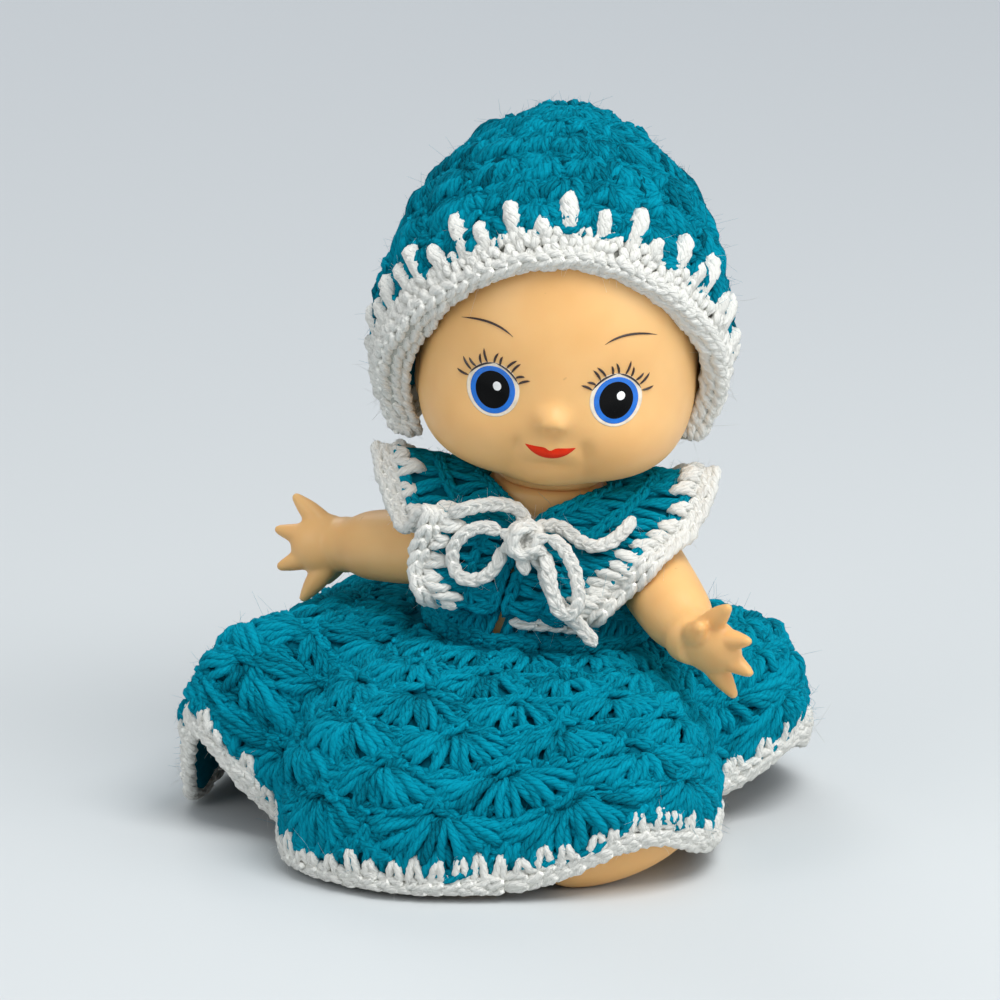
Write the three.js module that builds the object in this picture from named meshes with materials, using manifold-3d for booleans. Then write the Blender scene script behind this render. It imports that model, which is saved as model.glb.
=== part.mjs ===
// Seated baby doll in a crocheted dress and bonnet.
// Millimetres, +Z up. The doll faces -Y and its own left side is +X.
// The origin is on the floor under the seat.
import * as THREE from 'three';
import { mergeVertices } from 'three/addons/utils/BufferGeometryUtils.js';
import Module from 'manifold-3d';

const wasm = await Module();
wasm.setup();

// Pose of the seated doll and the clearances that all fits share
const leanAngle = 4.5;
const runningGap = 0.3;
const clothGap = 0.5;

// Torso, heights above the seat along its own axis
const torsoWall = 2.4;
const seatSink = 2;
const hipHeight = 17;
const hipForward = 4;
const hipFlat = 16;
const hipHalfDepth = 20.5;
const bellyHeight = 45;
const bellyHalfWidth = 25;
const bellyHalfDepth = 22;
const chestHeight = 60;
const chestHalfWidth = 24.6;
const chestHalfDepth = 20.5;
const shoulderHeight = 67.4;
const shoulderFlat = 22;
const shoulderFlatRadius = 13;
const shoulderTopHeight = 79;
const shoulderTopHalfWidth = 18.5;
const torsoTopHeight = 86;
const torsoTopRadius = 13.4;

// Plugs: the vinyl head and limbs snap into round holes of the torso by a stem and a wider rim
const neckStemRadius = 9.5;
const neckBoreRadius = 6;
const neckBoreLength = 50;
const armStemRadius = 5.5;
const legStemRadius = 8;
const plugRimOverhang = 1.9;
const plugRimThickness = 2;

// Head, egg shaped with full cheeks
const headHeight = 79;
const headGap = 2;
const headHalfWidth = 34.6;
const headHalfDepth = 34;
const headWidestDrop = 30;
const headWall = 2.8;
const neckRadius = 12.6;
const earHalfSize = [1.6, 4.6, 7.4];
const earHeight = 112;
const eyeSpacing = 30.4;
const eyeHeight = 116.5;
const noseHeight = 111;
const mouthHeight = 102;

// Arms, measured from the shoulder along and across the plug's axis
const shoulderTurnIn = 12;
const armLength = 53;
const armBend = 57;
const armStandOff = 3.6;
const armRootRadius = 8.8;
const armFullRadius = 9.5;
const wristRadius = 7;
const palmHalfSize = [5.4, 8.6, 9.4];
const fingerLength = 12;
const fingerRadius = 2.9;
const handTilt = 72;
const leftArmSwing = 72;
const rightArmSwing = -73;

// Legs, bent a little at the knee, soles turned forwards
const legRootRadius = 14.6;
const thighRadius = 14;
const kneeRadius = 11.6;
const calfRadius = 11;
const ankleRadius = 8.6;
const legReach = 54.5;
const footHalfSize = [17, 6, 8];
const footRoll = 24;
const footLean = 22;
const footTurn = 22;
const footInset = 5;
const leftLegLift = 0.2;
const rightLegLift = -2.4;

// Bonnet, an egg shaped cap with a face arch, wider and taller than the head by its room and its cloth
const bonnetRoomAside = 5;
const bonnetRoomAbove = 9.2;
const bonnetWidestHeight = 120;
const bonnetFrontDepth = 0.83;
const bonnetBackDepth = 0.96;
const bonnetThickness = 4.4;
const bonnetEdgeHeight = 96.5;
const archTopHeight = 151;
const bonnetBandWidth = 7;
const bonnetBandThickness = 5.2;
const bonnetPeak = 2.4;
const bonnetTuck = 1.2;
const bonnetTurnIn = 3.2;
const bonnetAside = -2;
const bonnetEdgeTilt = 2.2;
const archRoundness = 0.75;
const cheekTurn = 62;

// Dress
const waistHeight = 50;
const bodiceThickness = 2.6;
const bodiceFrontTop = 72;
const bodiceBackTop = 74;
const armholeHeight = 52;
const collarThickness = 2.6;
const collarTrimWidth = 4;
const collarTrimGap = 1;
const collarRuffle = 1.2;
const skirtThickness = 3.4;
const skirtReach = 77;
const skirtCentreShift = -5;
const skirtRoundness = 2.5;
const hemTrimRadius = 2.3;

// Chain cord that ties the collar
const cordRadius = 1.8;
const knotHalfSize = [4.4, 3.6, 4];

const skinColour = 0xf2c58c;
const tealColour = 0x0b8aa6;
const whiteColour = 0xdfe3dd;

const degrees = Math.PI / 180;
const lean = leanAngle * degrees;

// Shapes

// A closed skin over a stack of rings with equal point counts, each end closed by a fan
function skin(rings) {
  const count = rings[0].length;
  const points = rings.flat();
  const faces = [];
  for (let j = 0; j + 1 < rings.length; j++) {
    for (let i = 0; i < count; i++) {
      const a = j * count + i;
      const b = j * count + (i + 1) % count;
      faces.push(a, b, b + count, a, b + count, a + count);
    }
  }
  const ends = [[0, true], [rings.length - 1, false]];
  for (const [row, reversed] of ends) {
    const middle = new THREE.Vector3();
    rings[row].forEach((point) => middle.addScaledVector(point, 1 / count));
    points.push(middle);
    for (let i = 0; i < count; i++) {
      const a = row * count + i;
      const b = row * count + (i + 1) % count;
      faces.push(...(reversed ? [b, a, points.length - 1] : [a, b, points.length - 1]));
    }
  }
  return facingOut(points, faces);
}

// A thick cloth between two faces over one grid, open or joined round
function cloth(columns, rows, joined, outer, inner) {
  const across = joined ? columns : columns + 1;
  const points = [];
  for (const face of [outer, inner]) {
    for (let j = 0; j <= rows; j++) {
      for (let i = 0; i < across; i++) points.push(face(i / columns, j / rows));
    }
  }
  const back = across * (rows + 1);
  const faces = [];
  const quad = (a, b, c, d) => faces.push(a, b, c, a, c, d);
  for (let j = 0; j < rows; j++) {
    for (let i = 0; i < columns; i++) {
      const a = j * across + i;
      const b = j * across + (i + 1) % across;
      quad(a, b, b + across, a + across);
      quad(back + b, back + a, back + a + across, back + b + across);
    }
  }
  for (let i = 0; i < columns; i++) {
    const next = (i + 1) % across;
    const last = rows * across;
    quad(next, i, back + i, back + next);
    quad(last + i, last + next, back + last + next, back + last + i);
  }
  for (let j = 0; j < rows && !joined; j++) {
    const a = j * across;
    const b = a + columns;
    quad(a, a + across, back + a + across, back + a);
    quad(b + across, b, back + b, back + b + across);
  }
  return facingOut(points, faces);
}

// A closed ring of cloth or yarn: a round section carried once about a closed line
function ringOf(columns, sides, place) {
  const points = [];
  const faces = [];
  for (let i = 0; i < columns; i++) {
    for (let k = 0; k < sides; k++) {
      points.push(place(i / columns, (k / sides) * 2 * Math.PI));
      const a = i * sides + k;
      const b = i * sides + (k + 1) % sides;
      const c = ((i + 1) % columns) * sides + (k + 1) % sides;
      const d = ((i + 1) % columns) * sides + k;
      faces.push(a, b, c, a, c, d);
    }
  }
  return facingOut(points, faces);
}

// The geometry of a closed triangle list, turned inside out where its volume is negative
function facingOut(points, faces) {
  let volume = 0;
  for (let i = 0; i < faces.length; i += 3) {
    const [a, b, c] = [points[faces[i]], points[faces[i + 1]], points[faces[i + 2]]];
    volume += a.dot(b.clone().cross(c));
  }
  if (volume < 0) faces.reverse();
  const geometry = new THREE.BufferGeometry();
  geometry.setAttribute('position', new THREE.Float32BufferAttribute(points.flatMap((p) => p.toArray()), 3));
  geometry.setIndex(faces);
  geometry.computeVertexNormals();
  return geometry;
}

// A turned piece about +Z from pairs of radius and height
function turned(profile, sides) {
  const outline = profile.map(([radius, height]) => new THREE.Vector2(radius, height));
  return new THREE.LatheGeometry(outline, sides).rotateX(90 * degrees);
}

// A round body swept along a line of stations, each a centre and a radius
function swept(stations, sides, flatten = 1) {
  const path = new THREE.CatmullRomCurve3(stations.map(([x, y, z]) => new THREE.Vector3(x, y, z)));
  const radii = stations.map((station) => station[3]);
  const steps = (stations.length - 1) * 2;
  const side = new THREE.Vector3(0, 0, 1);
  const rings = [];
  for (let j = 0; j <= steps; j++) {
    const t = j / steps;
    const centre = path.getPoint(t);
    const ahead = path.getTangent(t);
    const radius = smoothAlong(radii, t);
    const across = new THREE.Vector3().crossVectors(side, ahead).normalize();
    const up = new THREE.Vector3().crossVectors(ahead, across).normalize();
    const ring = [];
    for (let i = 0; i < sides; i++) {
      const angle = (i / sides) * 2 * Math.PI;
      const point = centre.clone().addScaledVector(across, Math.cos(angle) * radius);
      ring.push(point.addScaledVector(up, Math.sin(angle) * radius * flatten));
    }
    rings.push(ring);
  }
  return skin(rings);
}

// Values spread evenly over 0 to 1, joined by a smooth curve
function smoothAlong(values, t) {
  const points = values.map((value, i) => new THREE.Vector2(i, value));
  return new THREE.SplineCurve(points).getPoint(t).y;
}

// An egg or pad from its half sizes
function pad([halfX, halfY, halfZ], across = 16, down = 10) {
  return new THREE.SphereGeometry(1, across, down).rotateX(90 * degrees).scale(halfX, halfY, halfZ);
}

// Booleans: shared corners are merged, and faces that shrink to a line at a pole are left out
function solid(geometry) {
  const bare = geometry.clone();
  bare.deleteAttribute('normal');
  if (bare.getAttribute('uv')) bare.deleteAttribute('uv');
  const merged = mergeVertices(bare, 1e-4);
  const corners = merged.index.array;
  const kept = [];
  for (let i = 0; i < corners.length; i += 3) {
    const [a, b, c] = [corners[i], corners[i + 1], corners[i + 2]];
    if (a !== b && b !== c && c !== a) kept.push(a, b, c);
  }
  return new wasm.Manifold(new wasm.Mesh({
    numProp: 3,
    vertProperties: new Float32Array(merged.getAttribute('position').array),
    triVerts: new Uint32Array(kept),
  }));
}

function shape(body) {
  const mesh = body.getMesh();
  const geometry = new THREE.BufferGeometry();
  geometry.setAttribute('position', new THREE.BufferAttribute(mesh.vertProperties, 3));
  geometry.setIndex(new THREE.BufferAttribute(mesh.triVerts, 1));
  geometry.computeVertexNormals();
  return geometry;
}

const join = (...geometries) => geometries.map(solid).reduce((whole, next) => whole.add(next));
const box = (low, high) => new THREE.BoxGeometry(high[0] - low[0], high[1] - low[1], high[2] - low[2])
  .translate((low[0] + high[0]) / 2, (low[1] + high[1]) / 2, (low[2] + high[2]) / 2);

function mesh(name, geometry, colour, roughness) {
  const material = new THREE.MeshStandardMaterial({ color: colour, roughness, metalness: 0 });
  const piece = new THREE.Mesh(geometry, material);
  piece.name = name;
  return piece;
}

const power = (value, exponent) => Math.sign(value) * Math.abs(value) ** exponent;
const bell = (value, width) => Math.exp(-((value / width) ** 2));
const mix = (a, b, t) => a + (b - a) * t;

// The difference between two directions, in degrees from -180 to 180
const apart = (a, b) => ((((a - b) % 360) + 540) % 360) - 180;

// From the leaning doll's own frame to the room's
const leaned = (point) => point.applyAxisAngle(new THREE.Vector3(0, 1, 0), lean);

// Torso: a hollow vinyl body with flats and holes where the head and limbs plug in

const torsoStations = [
  [-seatSink, 11, 13],
  [2, 16.5, 18.5],
  [hipHeight, 18, hipHalfDepth],
  [hipHeight + legRootRadius + 1, 17.2, hipHalfDepth + 0.6],
  [bellyHeight - 5, 23.4, bellyHalfDepth],
  [bellyHeight, bellyHalfWidth, bellyHalfDepth],
  [chestHeight, chestHalfWidth, chestHalfDepth],
  [shoulderHeight + 3, 23.4, 18.4],
  [shoulderTopHeight, shoulderTopHalfWidth, 15.6],
  [torsoTopHeight - 1, torsoTopRadius + 1.2, torsoTopRadius + 0.8],
  [torsoTopHeight, torsoTopRadius, torsoTopRadius],
];
const torsoHalves = new THREE.LinearInterpolant(
  torsoStations.map((station) => station[0]),
  torsoStations.flatMap((station) => station.slice(1)),
  2,
);

// A point of the torso's skin, grown by a margin; turn is in degrees from the front to the left side
function torsoPoint(height, turn, margin = 0) {
  const [halfWidth, halfDepth] = torsoHalves.evaluate(height);
  const x = (halfWidth + margin) * power(Math.sin(turn * degrees), 0.86);
  const y = -(halfDepth + margin) * power(Math.cos(turn * degrees), 0.86);
  return new THREE.Vector3(x, y, height);
}

function torsoSkin(heights, around, margin) {
  return skin(heights.map((height) => {
    const ring = [];
    for (let i = 0; i < around; i++) ring.push(torsoPoint(height, (i / around) * 360, margin));
    return ring;
  }));
}

// The hole that a plug's stem fills, and the wider pocket behind the wall that its rim turns in
function socket(stemRadius, flat) {
  const bore = (radius, low, high) => turned([[0, low], [radius, low], [radius, high], [0, high]], 18);
  const behind = flat - torsoWall;
  const pocketDepth = plugRimThickness + 3 * runningGap;
  return [
    bore(stemRadius + runningGap, behind - pocketDepth, flat + 5),
    bore(stemRadius + plugRimOverhang + 2 * runningGap, behind - pocketDepth, behind),
  ];
}

function torsoGeometry() {
  const outerHeights = torsoStations.map((station) => station[0]);
  const innerHeights = outerHeights.slice(2, -2);
  let body = solid(torsoSkin(outerHeights, 32, 0));
  const far = 200;
  for (const side of [-1, 1]) {
    const hipCut = box([hipFlat, -far, -far], [far, far, hipHeight + legRootRadius + 1]);
    const shoulderCut = turned([[0, 0], [shoulderFlatRadius, 0], [shoulderFlatRadius, 40], [0, 40]], 18)
      .rotateY(90 * degrees)
      .translate(shoulderFlat, 0, 0)
      .rotateZ(-shoulderTurnIn * degrees)
      .translate(0, 0, shoulderHeight);
    for (const cut of [hipCut, shoulderCut]) body = body.subtract(solid(side > 0 ? cut : mirrored(cut)));
  }
  // The floor cuts the leaning body level, which gives it its flat seat
  body = body.subtract(solid(box([-far, -far, -far], [far, far, 0]).rotateY(-lean)));

  let hollow = solid(torsoSkin([seatSink + torsoWall, ...innerHeights, torsoTopHeight - torsoWall], 18, -torsoWall));
  const hipKeep = hipFlat - torsoWall;
  const hipTop = hipHeight + legRootRadius + 1 + torsoWall;
  hollow = hollow.subtract(solid(box([hipKeep, -far, -far], [far, far, hipTop])));
  hollow = hollow.subtract(solid(box([-far, -far, -far], [-hipKeep, far, hipTop])));
  for (const side of [-1, 1]) {
    const wallBehind = box([0, -far, -armRootRadius - 4], [far, far, far])
      .translate(shoulderFlat - torsoWall, 0, 0)
      .rotateZ(-shoulderTurnIn * degrees)
      .translate(0, 0, shoulderHeight);
    hollow = hollow.subtract(solid(side > 0 ? wallBehind : mirrored(wallBehind)));
  }
  body = body.subtract(hollow);

  const toHip = (cut) => cut.rotateY(90 * degrees).translate(0, -hipForward, hipHeight);
  const toShoulder = (cut) => {
    return cut.rotateY(90 * degrees).rotateZ(-shoulderTurnIn * degrees).translate(0, 0, shoulderHeight);
  };
  for (const cut of socket(neckStemRadius, torsoTopHeight)) body = body.subtract(solid(cut));
  const sockets = [
    ...socket(legStemRadius, hipFlat).map(toHip),
    ...socket(armStemRadius, shoulderFlat).map(toShoulder),
  ];
  for (const cut of sockets) body = body.subtract(solid(cut)).subtract(solid(mirrored(cut)));
  return shape(body);
}

// The same shape on the doll's other side
function mirrored(geometry) {
  const copy = geometry.clone().scale(-1, 1, 1);
  const corners = copy.index.array;
  for (let i = 0; i < corners.length; i += 3) [corners[i], corners[i + 1]] = [corners[i + 1], corners[i]];
  copy.computeVertexNormals();
  return copy;
}

// A plug along +X: stem through the torso's wall and the rim that snaps behind it, the flat at x = 0
function plug(stemRadius) {
  const behind = -torsoWall - runningGap;
  const rim = stemRadius + plugRimOverhang;
  return turned([
    [0, behind - plugRimThickness],
    [stemRadius, behind - plugRimThickness],
    [rim, behind - plugRimThickness * 0.3],
    [rim, behind],
    [stemRadius, behind],
    [stemRadius, 3],
    [0, 3],
  ], 16).rotateY(90 * degrees);
}

// Head: a hollow egg with the face in relief, a neck and the plug below it

const headBottom = torsoTopHeight + headGap;
const headTop = headBottom + headHeight;
const headCentre = headBottom + headWidestDrop;
const headRise = headHeight - headWidestDrop;
const faceRelief = [
  // sideways place, height, how far out, how wide, how tall
  [21, mouthHeight - 0.5, 3.2, 12, 11],
  [-21, mouthHeight - 0.5, 3.2, 12, 11],
  [0, headBottom + 5, 1.8, 8, 6],
  [0, noseHeight, 3.4, 3.6, 3.2],
  [0, mouthHeight, 1.5, 6.6, 2.2],
  [0, mouthHeight + 3.6, -0.7, 3, 1.6],
  [eyeSpacing / 2, eyeHeight, -1.2, 8, 7.6],
  [-eyeSpacing / 2, eyeHeight, -1.2, 8, 7.6],
];

// turn is in degrees from the face, rise runs from 0 under the chin to 1 at the crown
function headPoint(turn, rise, margin = 0) {
  const out = Math.sin(rise * Math.PI);
  const up = -Math.cos(rise * Math.PI);
  const squareness = up < 0 ? 2 / 2.5 : 2 / 2.1;
  const x = (headHalfWidth + margin) * power(out, squareness) * Math.sin(turn * degrees);
  const y = -(headHalfDepth + margin) * power(out, squareness) * Math.cos(turn * degrees);
  const height = headCentre + power(up, squareness) * ((up < 0 ? headWidestDrop : headRise) + margin);
  let push = 0;
  for (const [sideways, level, far, wide, tall] of faceRelief) {
    if (y < 0) push += far * bell(x - sideways, wide) * bell(height - level, tall);
  }
  const outwards = new THREE.Vector3(x, y, (height - headCentre) * 0.5).normalize();
  return new THREE.Vector3(x, y, height).addScaledVector(outwards, push);
}

function headSkin(around, rows, margin) {
  const rings = [];
  for (let j = 1; j < rows; j++) {
    const ring = [];
    for (let i = 0; i < around; i++) {
      const even = (i / around) * 2 * Math.PI;
      ring.push(headPoint((even - 0.5 * Math.sin(even)) / degrees, j / rows, margin));
    }
    rings.push(ring);
  }
  return skin(rings);
}

function headGeometry() {
  const seat = torsoTopHeight + runningGap;
  const neck = turned([
    [0, seat],
    [neckRadius, seat],
    [neckRadius + 0.5, seat + 1.2],
    [neckRadius, headBottom + 4],
    [0, headBottom + 4],
  ], 20);
  const stem = plug(neckStemRadius).rotateY(-90 * degrees).translate(0, 0, torsoTopHeight);
  const ear = pad(earHalfSize, 10, 6).translate(headHalfWidth - 0.6, 2, earHeight);
  const boreProfile = [[0, 0], [neckBoreRadius, 0], [neckBoreRadius, neckBoreLength], [0, neckBoreLength]];
  const bore = turned(boreProfile, 14).translate(0, 0, headBottom - neckBoreLength / 2);
  const whole = join(headSkin(40, 25, 0), neck, stem, ear, mirrored(ear));
  return shape(whole.subtract(solid(headSkin(16, 9, -headWall)).add(solid(bore))));
}

// A limb cut flat where it turns against the torso
function flatRoot(limb) {
  const far = 100;
  return solid(limb).subtract(solid(box([-far, -far, -far], [runningGap, far, far])));
}

// Arm: a chubby vinyl arm that hangs along -Z, with a wrist crease and a small spread hand, its plug on x = 0

function armGeometry() {
  const outwards = Math.cos(armBend * degrees);
  const down = -Math.sin(armBend * degrees);
  const place = (along) => [outwards * along + armStandOff, 0, down * along];
  const wrist = armLength * 0.6;
  const arm = swept([
    [runningGap, 0, 0, armRootRadius],
    [armStandOff, 0, 0, armRootRadius + 0.3],
    [...place(12), armFullRadius],
    [...place(25), armFullRadius * 0.92],
    [...place(wrist), wristRadius],
    [...place(wrist + 4), wristRadius * 1.05],
  ], 14);
  const palmAt = place(wrist + 5);
  const toHand = (geometry) => geometry.rotateY(-handTilt * degrees).translate(...palmAt);
  const palm = toHand(pad(palmHalfSize, 12, 8).translate(0, 0, -palmHalfSize[2] * 0.55));
  const knuckles = -palmHalfSize[2] * 0.7;
  const fingers = [-58, -21, 14, 47].map((spread) => toHand(swept([
    [0, 0, knuckles * 0.4, fingerRadius],
    [0, 0, knuckles - 2, fingerRadius * 1.08],
    [-0.4, 0, knuckles - fingerLength * 0.6, fingerRadius * 0.9],
    [-1, 0, knuckles - fingerLength, fingerRadius * 0.3],
  ], 6).rotateX(spread * degrees)));
  const thumb = toHand(swept([
    [-2, -2, 0, fingerRadius * 1.2],
    [-4.4, -6, -3, fingerRadius * 1.15],
    [-5.6, -9.4, -5, fingerRadius * 0.5],
  ], 6));
  return shape(flatRoot(arm).add(join(plug(armStemRadius), palm, thumb, ...fingers)));
}

// Leg: thigh, bent knee, calf and a plump foot whose sole looks forwards, its plug on x = 0

function legGeometry() {
  const leg = swept([
    [runningGap, 0, 0, legRootRadius],
    [4, 0, 0, legRootRadius],
    [10, -7, 0, thighRadius],
    [13, -18, 0, thighRadius * 0.96],
    [13, -30, -1, kneeRadius],
    [11, -42, -3, calfRadius],
    [footInset + 2, 4 - legReach, -5, ankleRadius],
    [footInset, -legReach, -5.4, ankleRadius * 0.9],
  ], 16);
  const foot = pad(footHalfSize, 16, 10)
    .rotateY(-footRoll * degrees)
    .rotateX(footLean * degrees)
    .rotateZ(footTurn * degrees)
    .translate(footInset, -legReach - 5.6, -5.6);
  return shape(flatRoot(leg).add(join(plug(legStemRadius), foot)));
}

// Bonnet: an egg shaped crown worked in rounds, and a white band round the face and nape

// angle is 0 at the peak, 90 at the widest level and napeAngle at the lower edge
const napeAngle = 120;
const bonnetHalfWidth = headHalfWidth + bonnetRoomAside + bonnetThickness;
const bonnetTopHeight = headTop + bonnetRoomAbove + bonnetThickness;

function bonnetPoint(turn, angle, depth) {
  const upper = Math.min(angle, 90) * degrees;
  const lower = Math.max(angle - 90, 0) / (napeAngle - 90);
  const radius = (bonnetHalfWidth - depth) * Math.sin(upper) - bonnetTuck * lower * lower;
  const above = (bonnetTopHeight - depth - bonnetWidestHeight) * Math.cos(upper);
  const below = (bonnetWidestHeight - bonnetEdgeHeight) * lower;
  const facing = Math.cos(turn * degrees);
  const share = facing > 0 ? bonnetFrontDepth : bonnetBackDepth;
  const height = bonnetWidestHeight + above - below + bonnetPeak * bell(radius, 9);
  return new THREE.Vector3(bonnetAside + radius * Math.sin(turn * degrees), -radius * facing * share, height);
}

function bonnetAngle(height) {
  const rise = (height - bonnetWidestHeight) / (bonnetTopHeight - bonnetWidestHeight);
  const drop = (bonnetWidestHeight - height) / (bonnetWidestHeight - bonnetEdgeHeight);
  return rise > 0 ? Math.acos(Math.min(rise, 1)) / degrees : 90 + drop * (napeAngle - 90);
}

// The height of an edge that arches over the face and tilts a little round the nape, set in by a margin
function bonnetEdge(turn, margin) {
  const low = bonnetEdgeHeight + margin + bonnetEdgeTilt * Math.sin(turn * degrees);
  const reach = 90 + (1.25 * margin / bonnetHalfWidth) / degrees;
  const across = Math.min(Math.abs(apart(turn, 0)) / reach, 1) * 90;
  return low + (archTopHeight - bonnetEdgeHeight) * Math.cos(across * degrees) ** archRoundness;
}

function bonnetCrownGeometry() {
  const around = 40;
  const rows = 9;
  const ringAt = (share, depth) => {
    const ring = [];
    for (let i = 0; i < around; i++) {
      const turn = (i / around) * 360;
      const edge = bonnetAngle(bonnetEdge(turn, bonnetBandWidth + 2 * runningGap));
      ring.push(bonnetPoint(turn, edge * share, depth));
    }
    return ring;
  };
  const rings = [];
  for (let j = 1; j <= rows; j++) rings.push(ringAt(j / rows, bonnetThickness));
  for (let j = rows; j >= 1; j--) rings.push(ringAt(j / rows, 0));
  return skin(rings);
}

// The band's lining is turned in towards the cheeks at both sides of the face
function bonnetBandGeometry() {
  const face = (depth, crown, turnedIn) => (around, down) => {
    const turn = around * 360;
    const low = bonnetEdge(turn, 0);
    const high = bonnetEdge(turn, bonnetBandWidth);
    const swell = crown * Math.sin(down * Math.PI);
    const beside = bell(Math.abs(apart(turn, 0)) - cheekTurn, cheekTurn / 3);
    const hug = turnedIn * (bonnetTurnIn + bonnetAside * Math.sin(turn * degrees)) * beside * down;
    return bonnetPoint(turn, bonnetAngle(mix(high, low, down)), depth - swell + hug);
  };
  const outer = face(0, bonnetBandThickness - bonnetThickness, 0);
  return cloth(48, 3, true, outer, face(bonnetThickness, 0, 1));
}

// Bodice: a crocheted tube round the chest, cut away at the arms

function bodiceTop(turn) {
  const facing = Math.cos(turn * degrees);
  return armholeHeight + ((facing > 0 ? bodiceFrontTop : bodiceBackTop) - armholeHeight) * Math.abs(facing) ** 3.5;
}

function bodiceGeometry() {
  const face = (margin) => (around, down) => {
    const turn = around * 360;
    return torsoPoint(mix(bodiceTop(turn), waistHeight + runningGap, down), turn, margin);
  };
  return cloth(36, 3, true, face(clothGap + bodiceThickness), face(clothGap));
}

// Collar: two wide flounces, each from the waist in front over the shoulder to the waist behind

// Stations from the waist to the shoulder: turn from the front, share of the way from the waist up
// to the torso's top, and how far out from the dress
const collarNecks = {
  left: [[-9, 0.18, 0], [-7, 0.5, 0], [-6, 0.82, -0.6], [17, 0.98, -2.2], [90, 1.02, -2.8]],
  right: [[12, 0.18, 0], [11, 0.5, 0], [11, 0.82, -0.6], [36, 0.98, -2.2], [90, 1.02, -2.8]],
};
const collarEdges = {
  left: [[12.5, 0.18, 0.8], [22.7, 0.417, 3.8], [38, 0.667, 7.6], [70, 0.93, 13.6], [90, 1.14, 17]],
  right: [[39, 0.208, 4.8], [43, 0.472, 8.8], [45.5, 0.889, 11.3], [69, 0.778, 9.8], [90, 1.14, 19.4]],
};

// The line through the stations in front of the shoulder and back through those behind it
function collarLine(front, behind) {
  const margin = 2 * clothGap + bodiceThickness + collarThickness;
  const place = ([turn, share, out]) => {
    return torsoPoint(mix(waistHeight, torsoTopHeight, share), turn, margin + out);
  };
  const back = behind.slice(0, -1).map((station) => place(station)).reverse();
  back.forEach((point) => point.setY(-point.y));
  return new THREE.CatmullRomCurve3([...front.map(place), ...back]);
}

const collarLines = {
  left: [collarLine(collarNecks.left, collarNecks.left), collarLine(collarEdges.left, collarEdges.left)],
  right: [collarLine(collarNecks.right, collarNecks.right), collarLine(collarEdges.right, collarEdges.left)],
};

// over runs from 0 in front through 0.5 at the shoulder to 1 behind; flare is 0 at the neck and 1 at the edge
function collarPoint(over, flare, depth, label, beyond = 0) {
  const [neck, edge] = collarLines[label].map((line) => line.getPoint(over));
  const [neckWay, edgeWay] = collarLines[label].map((line) => line.getTangent(over));
  const across = edge.clone().sub(neck);
  const share = flare + beyond / across.length();
  const out = across.clone().cross(neckWay.lerp(edgeWay, Math.min(share, 1))).normalize();
  const point = neck.addScaledVector(across, share);
  if (out.dot(point.clone().setZ(point.z - chestHeight)) < 0) out.negate();
  const wave = collarRuffle * Math.sin(over * 10 * Math.PI) * Math.min(share, 1) ** 2;
  point.addScaledVector(out, wave - depth);
  return label === 'left' ? point : point.setX(-point.x);
}

function collarGeometry(label) {
  const face = (depth) => (over, flare) => collarPoint(over, flare, depth, label);
  return cloth(24, 4, false, face(0), face(collarThickness));
}

// The white edging worked on to the collar's outer edge, a little thicker than the cloth
function collarTrimGeometry(label) {
  const face = (depth, crown) => (over, across) => {
    const beyond = collarTrimGap + collarTrimWidth * across;
    return collarPoint(over, 1, depth + crown * Math.sin(across * Math.PI), label, beyond);
  };
  return cloth(24, 2, false, face(-0.3, -0.8), face(collarThickness, 0.5));
}

// A run of yarn along a line of points
function yarn(points, radius, steps, sides = 8) {
  const section = new THREE.Shape();
  for (let i = 0; i < sides; i++) {
    const angle = (i / sides) * 2 * Math.PI;
    const corner = [Math.cos(angle) * radius, Math.sin(angle) * radius];
    if (i === 0) section.moveTo(...corner);
    else section.lineTo(...corner);
  }
  section.closePath();
  const extrudePath = new THREE.CatmullRomCurve3(points, false, 'centripetal');
  return new THREE.ExtrudeGeometry(section, { steps, extrudePath, bevelEnabled: false });
}

// Skirt: a full circle of shell rows that stands up from the waist and falls in folds to the floor

const skirtFolds = [
  // direction from the front, width, how far it lifts the hem, how far it carries it out, how far it puffs
  [-77, 12, 24, 4, 6],
  [-60, 11, 0, -13, -1],
  [-120, 16, 1, -3, -3],
  [-150, 18, 7, 1, 2],
  [-22, 20, 0, 4, 1],
  [26, 17, 12.5, 6, 1],
  [52, 11, 0, -3, 0],
  [68, 12, 4, -19, -3],
  [86, 12, 15, -1, 2],
  [104, 12, 7, 2, 4],
  [140, 16, 0, -9, -2],
  [178, 17, 6, -4, 1],
];

// fall runs from 0 at the waist to 1 at the hem
function skirtPoint(turn, fall) {
  const hemHeight = 2 * hemTrimRadius + 2 * runningGap;
  let lift = hemHeight;
  let reach = skirtReach;
  let puff = 0;
  for (const [at, width, raise, carry, swell] of skirtFolds) {
    const here = bell(apart(turn, at), width);
    lift += raise * here;
    reach += carry * here;
    puff += swell * here;
  }
  const waist = leaned(torsoPoint(waistHeight, turn, 2 * clothGap));
  const bend = fall * 90 * degrees;
  const out = Math.sin(bend) ** (2 / skirtRoundness);
  const drop = Math.max(Math.cos(bend), 0) ** (2 / skirtRoundness);
  const x = mix(waist.x, skirtCentreShift + reach * Math.sin(turn * degrees), out);
  const y = mix(waist.y, -reach * Math.cos(turn * degrees), out);
  const height = mix(lift, waist.z - runningGap, drop) + puff * Math.sin(fall * Math.PI);
  return new THREE.Vector3(x, y, height);
}

// Straight out of the cloth's right side, from its slopes round and down
function skirtNormal(turn, fall) {
  const step = 0.01;
  const low = Math.min(Math.max(fall, step), 1 - step);
  const round = skirtPoint(turn + 1, low).sub(skirtPoint(turn - 1, low));
  const down = skirtPoint(turn, low + step).sub(skirtPoint(turn, low - step));
  return down.cross(round).normalize();
}

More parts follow.
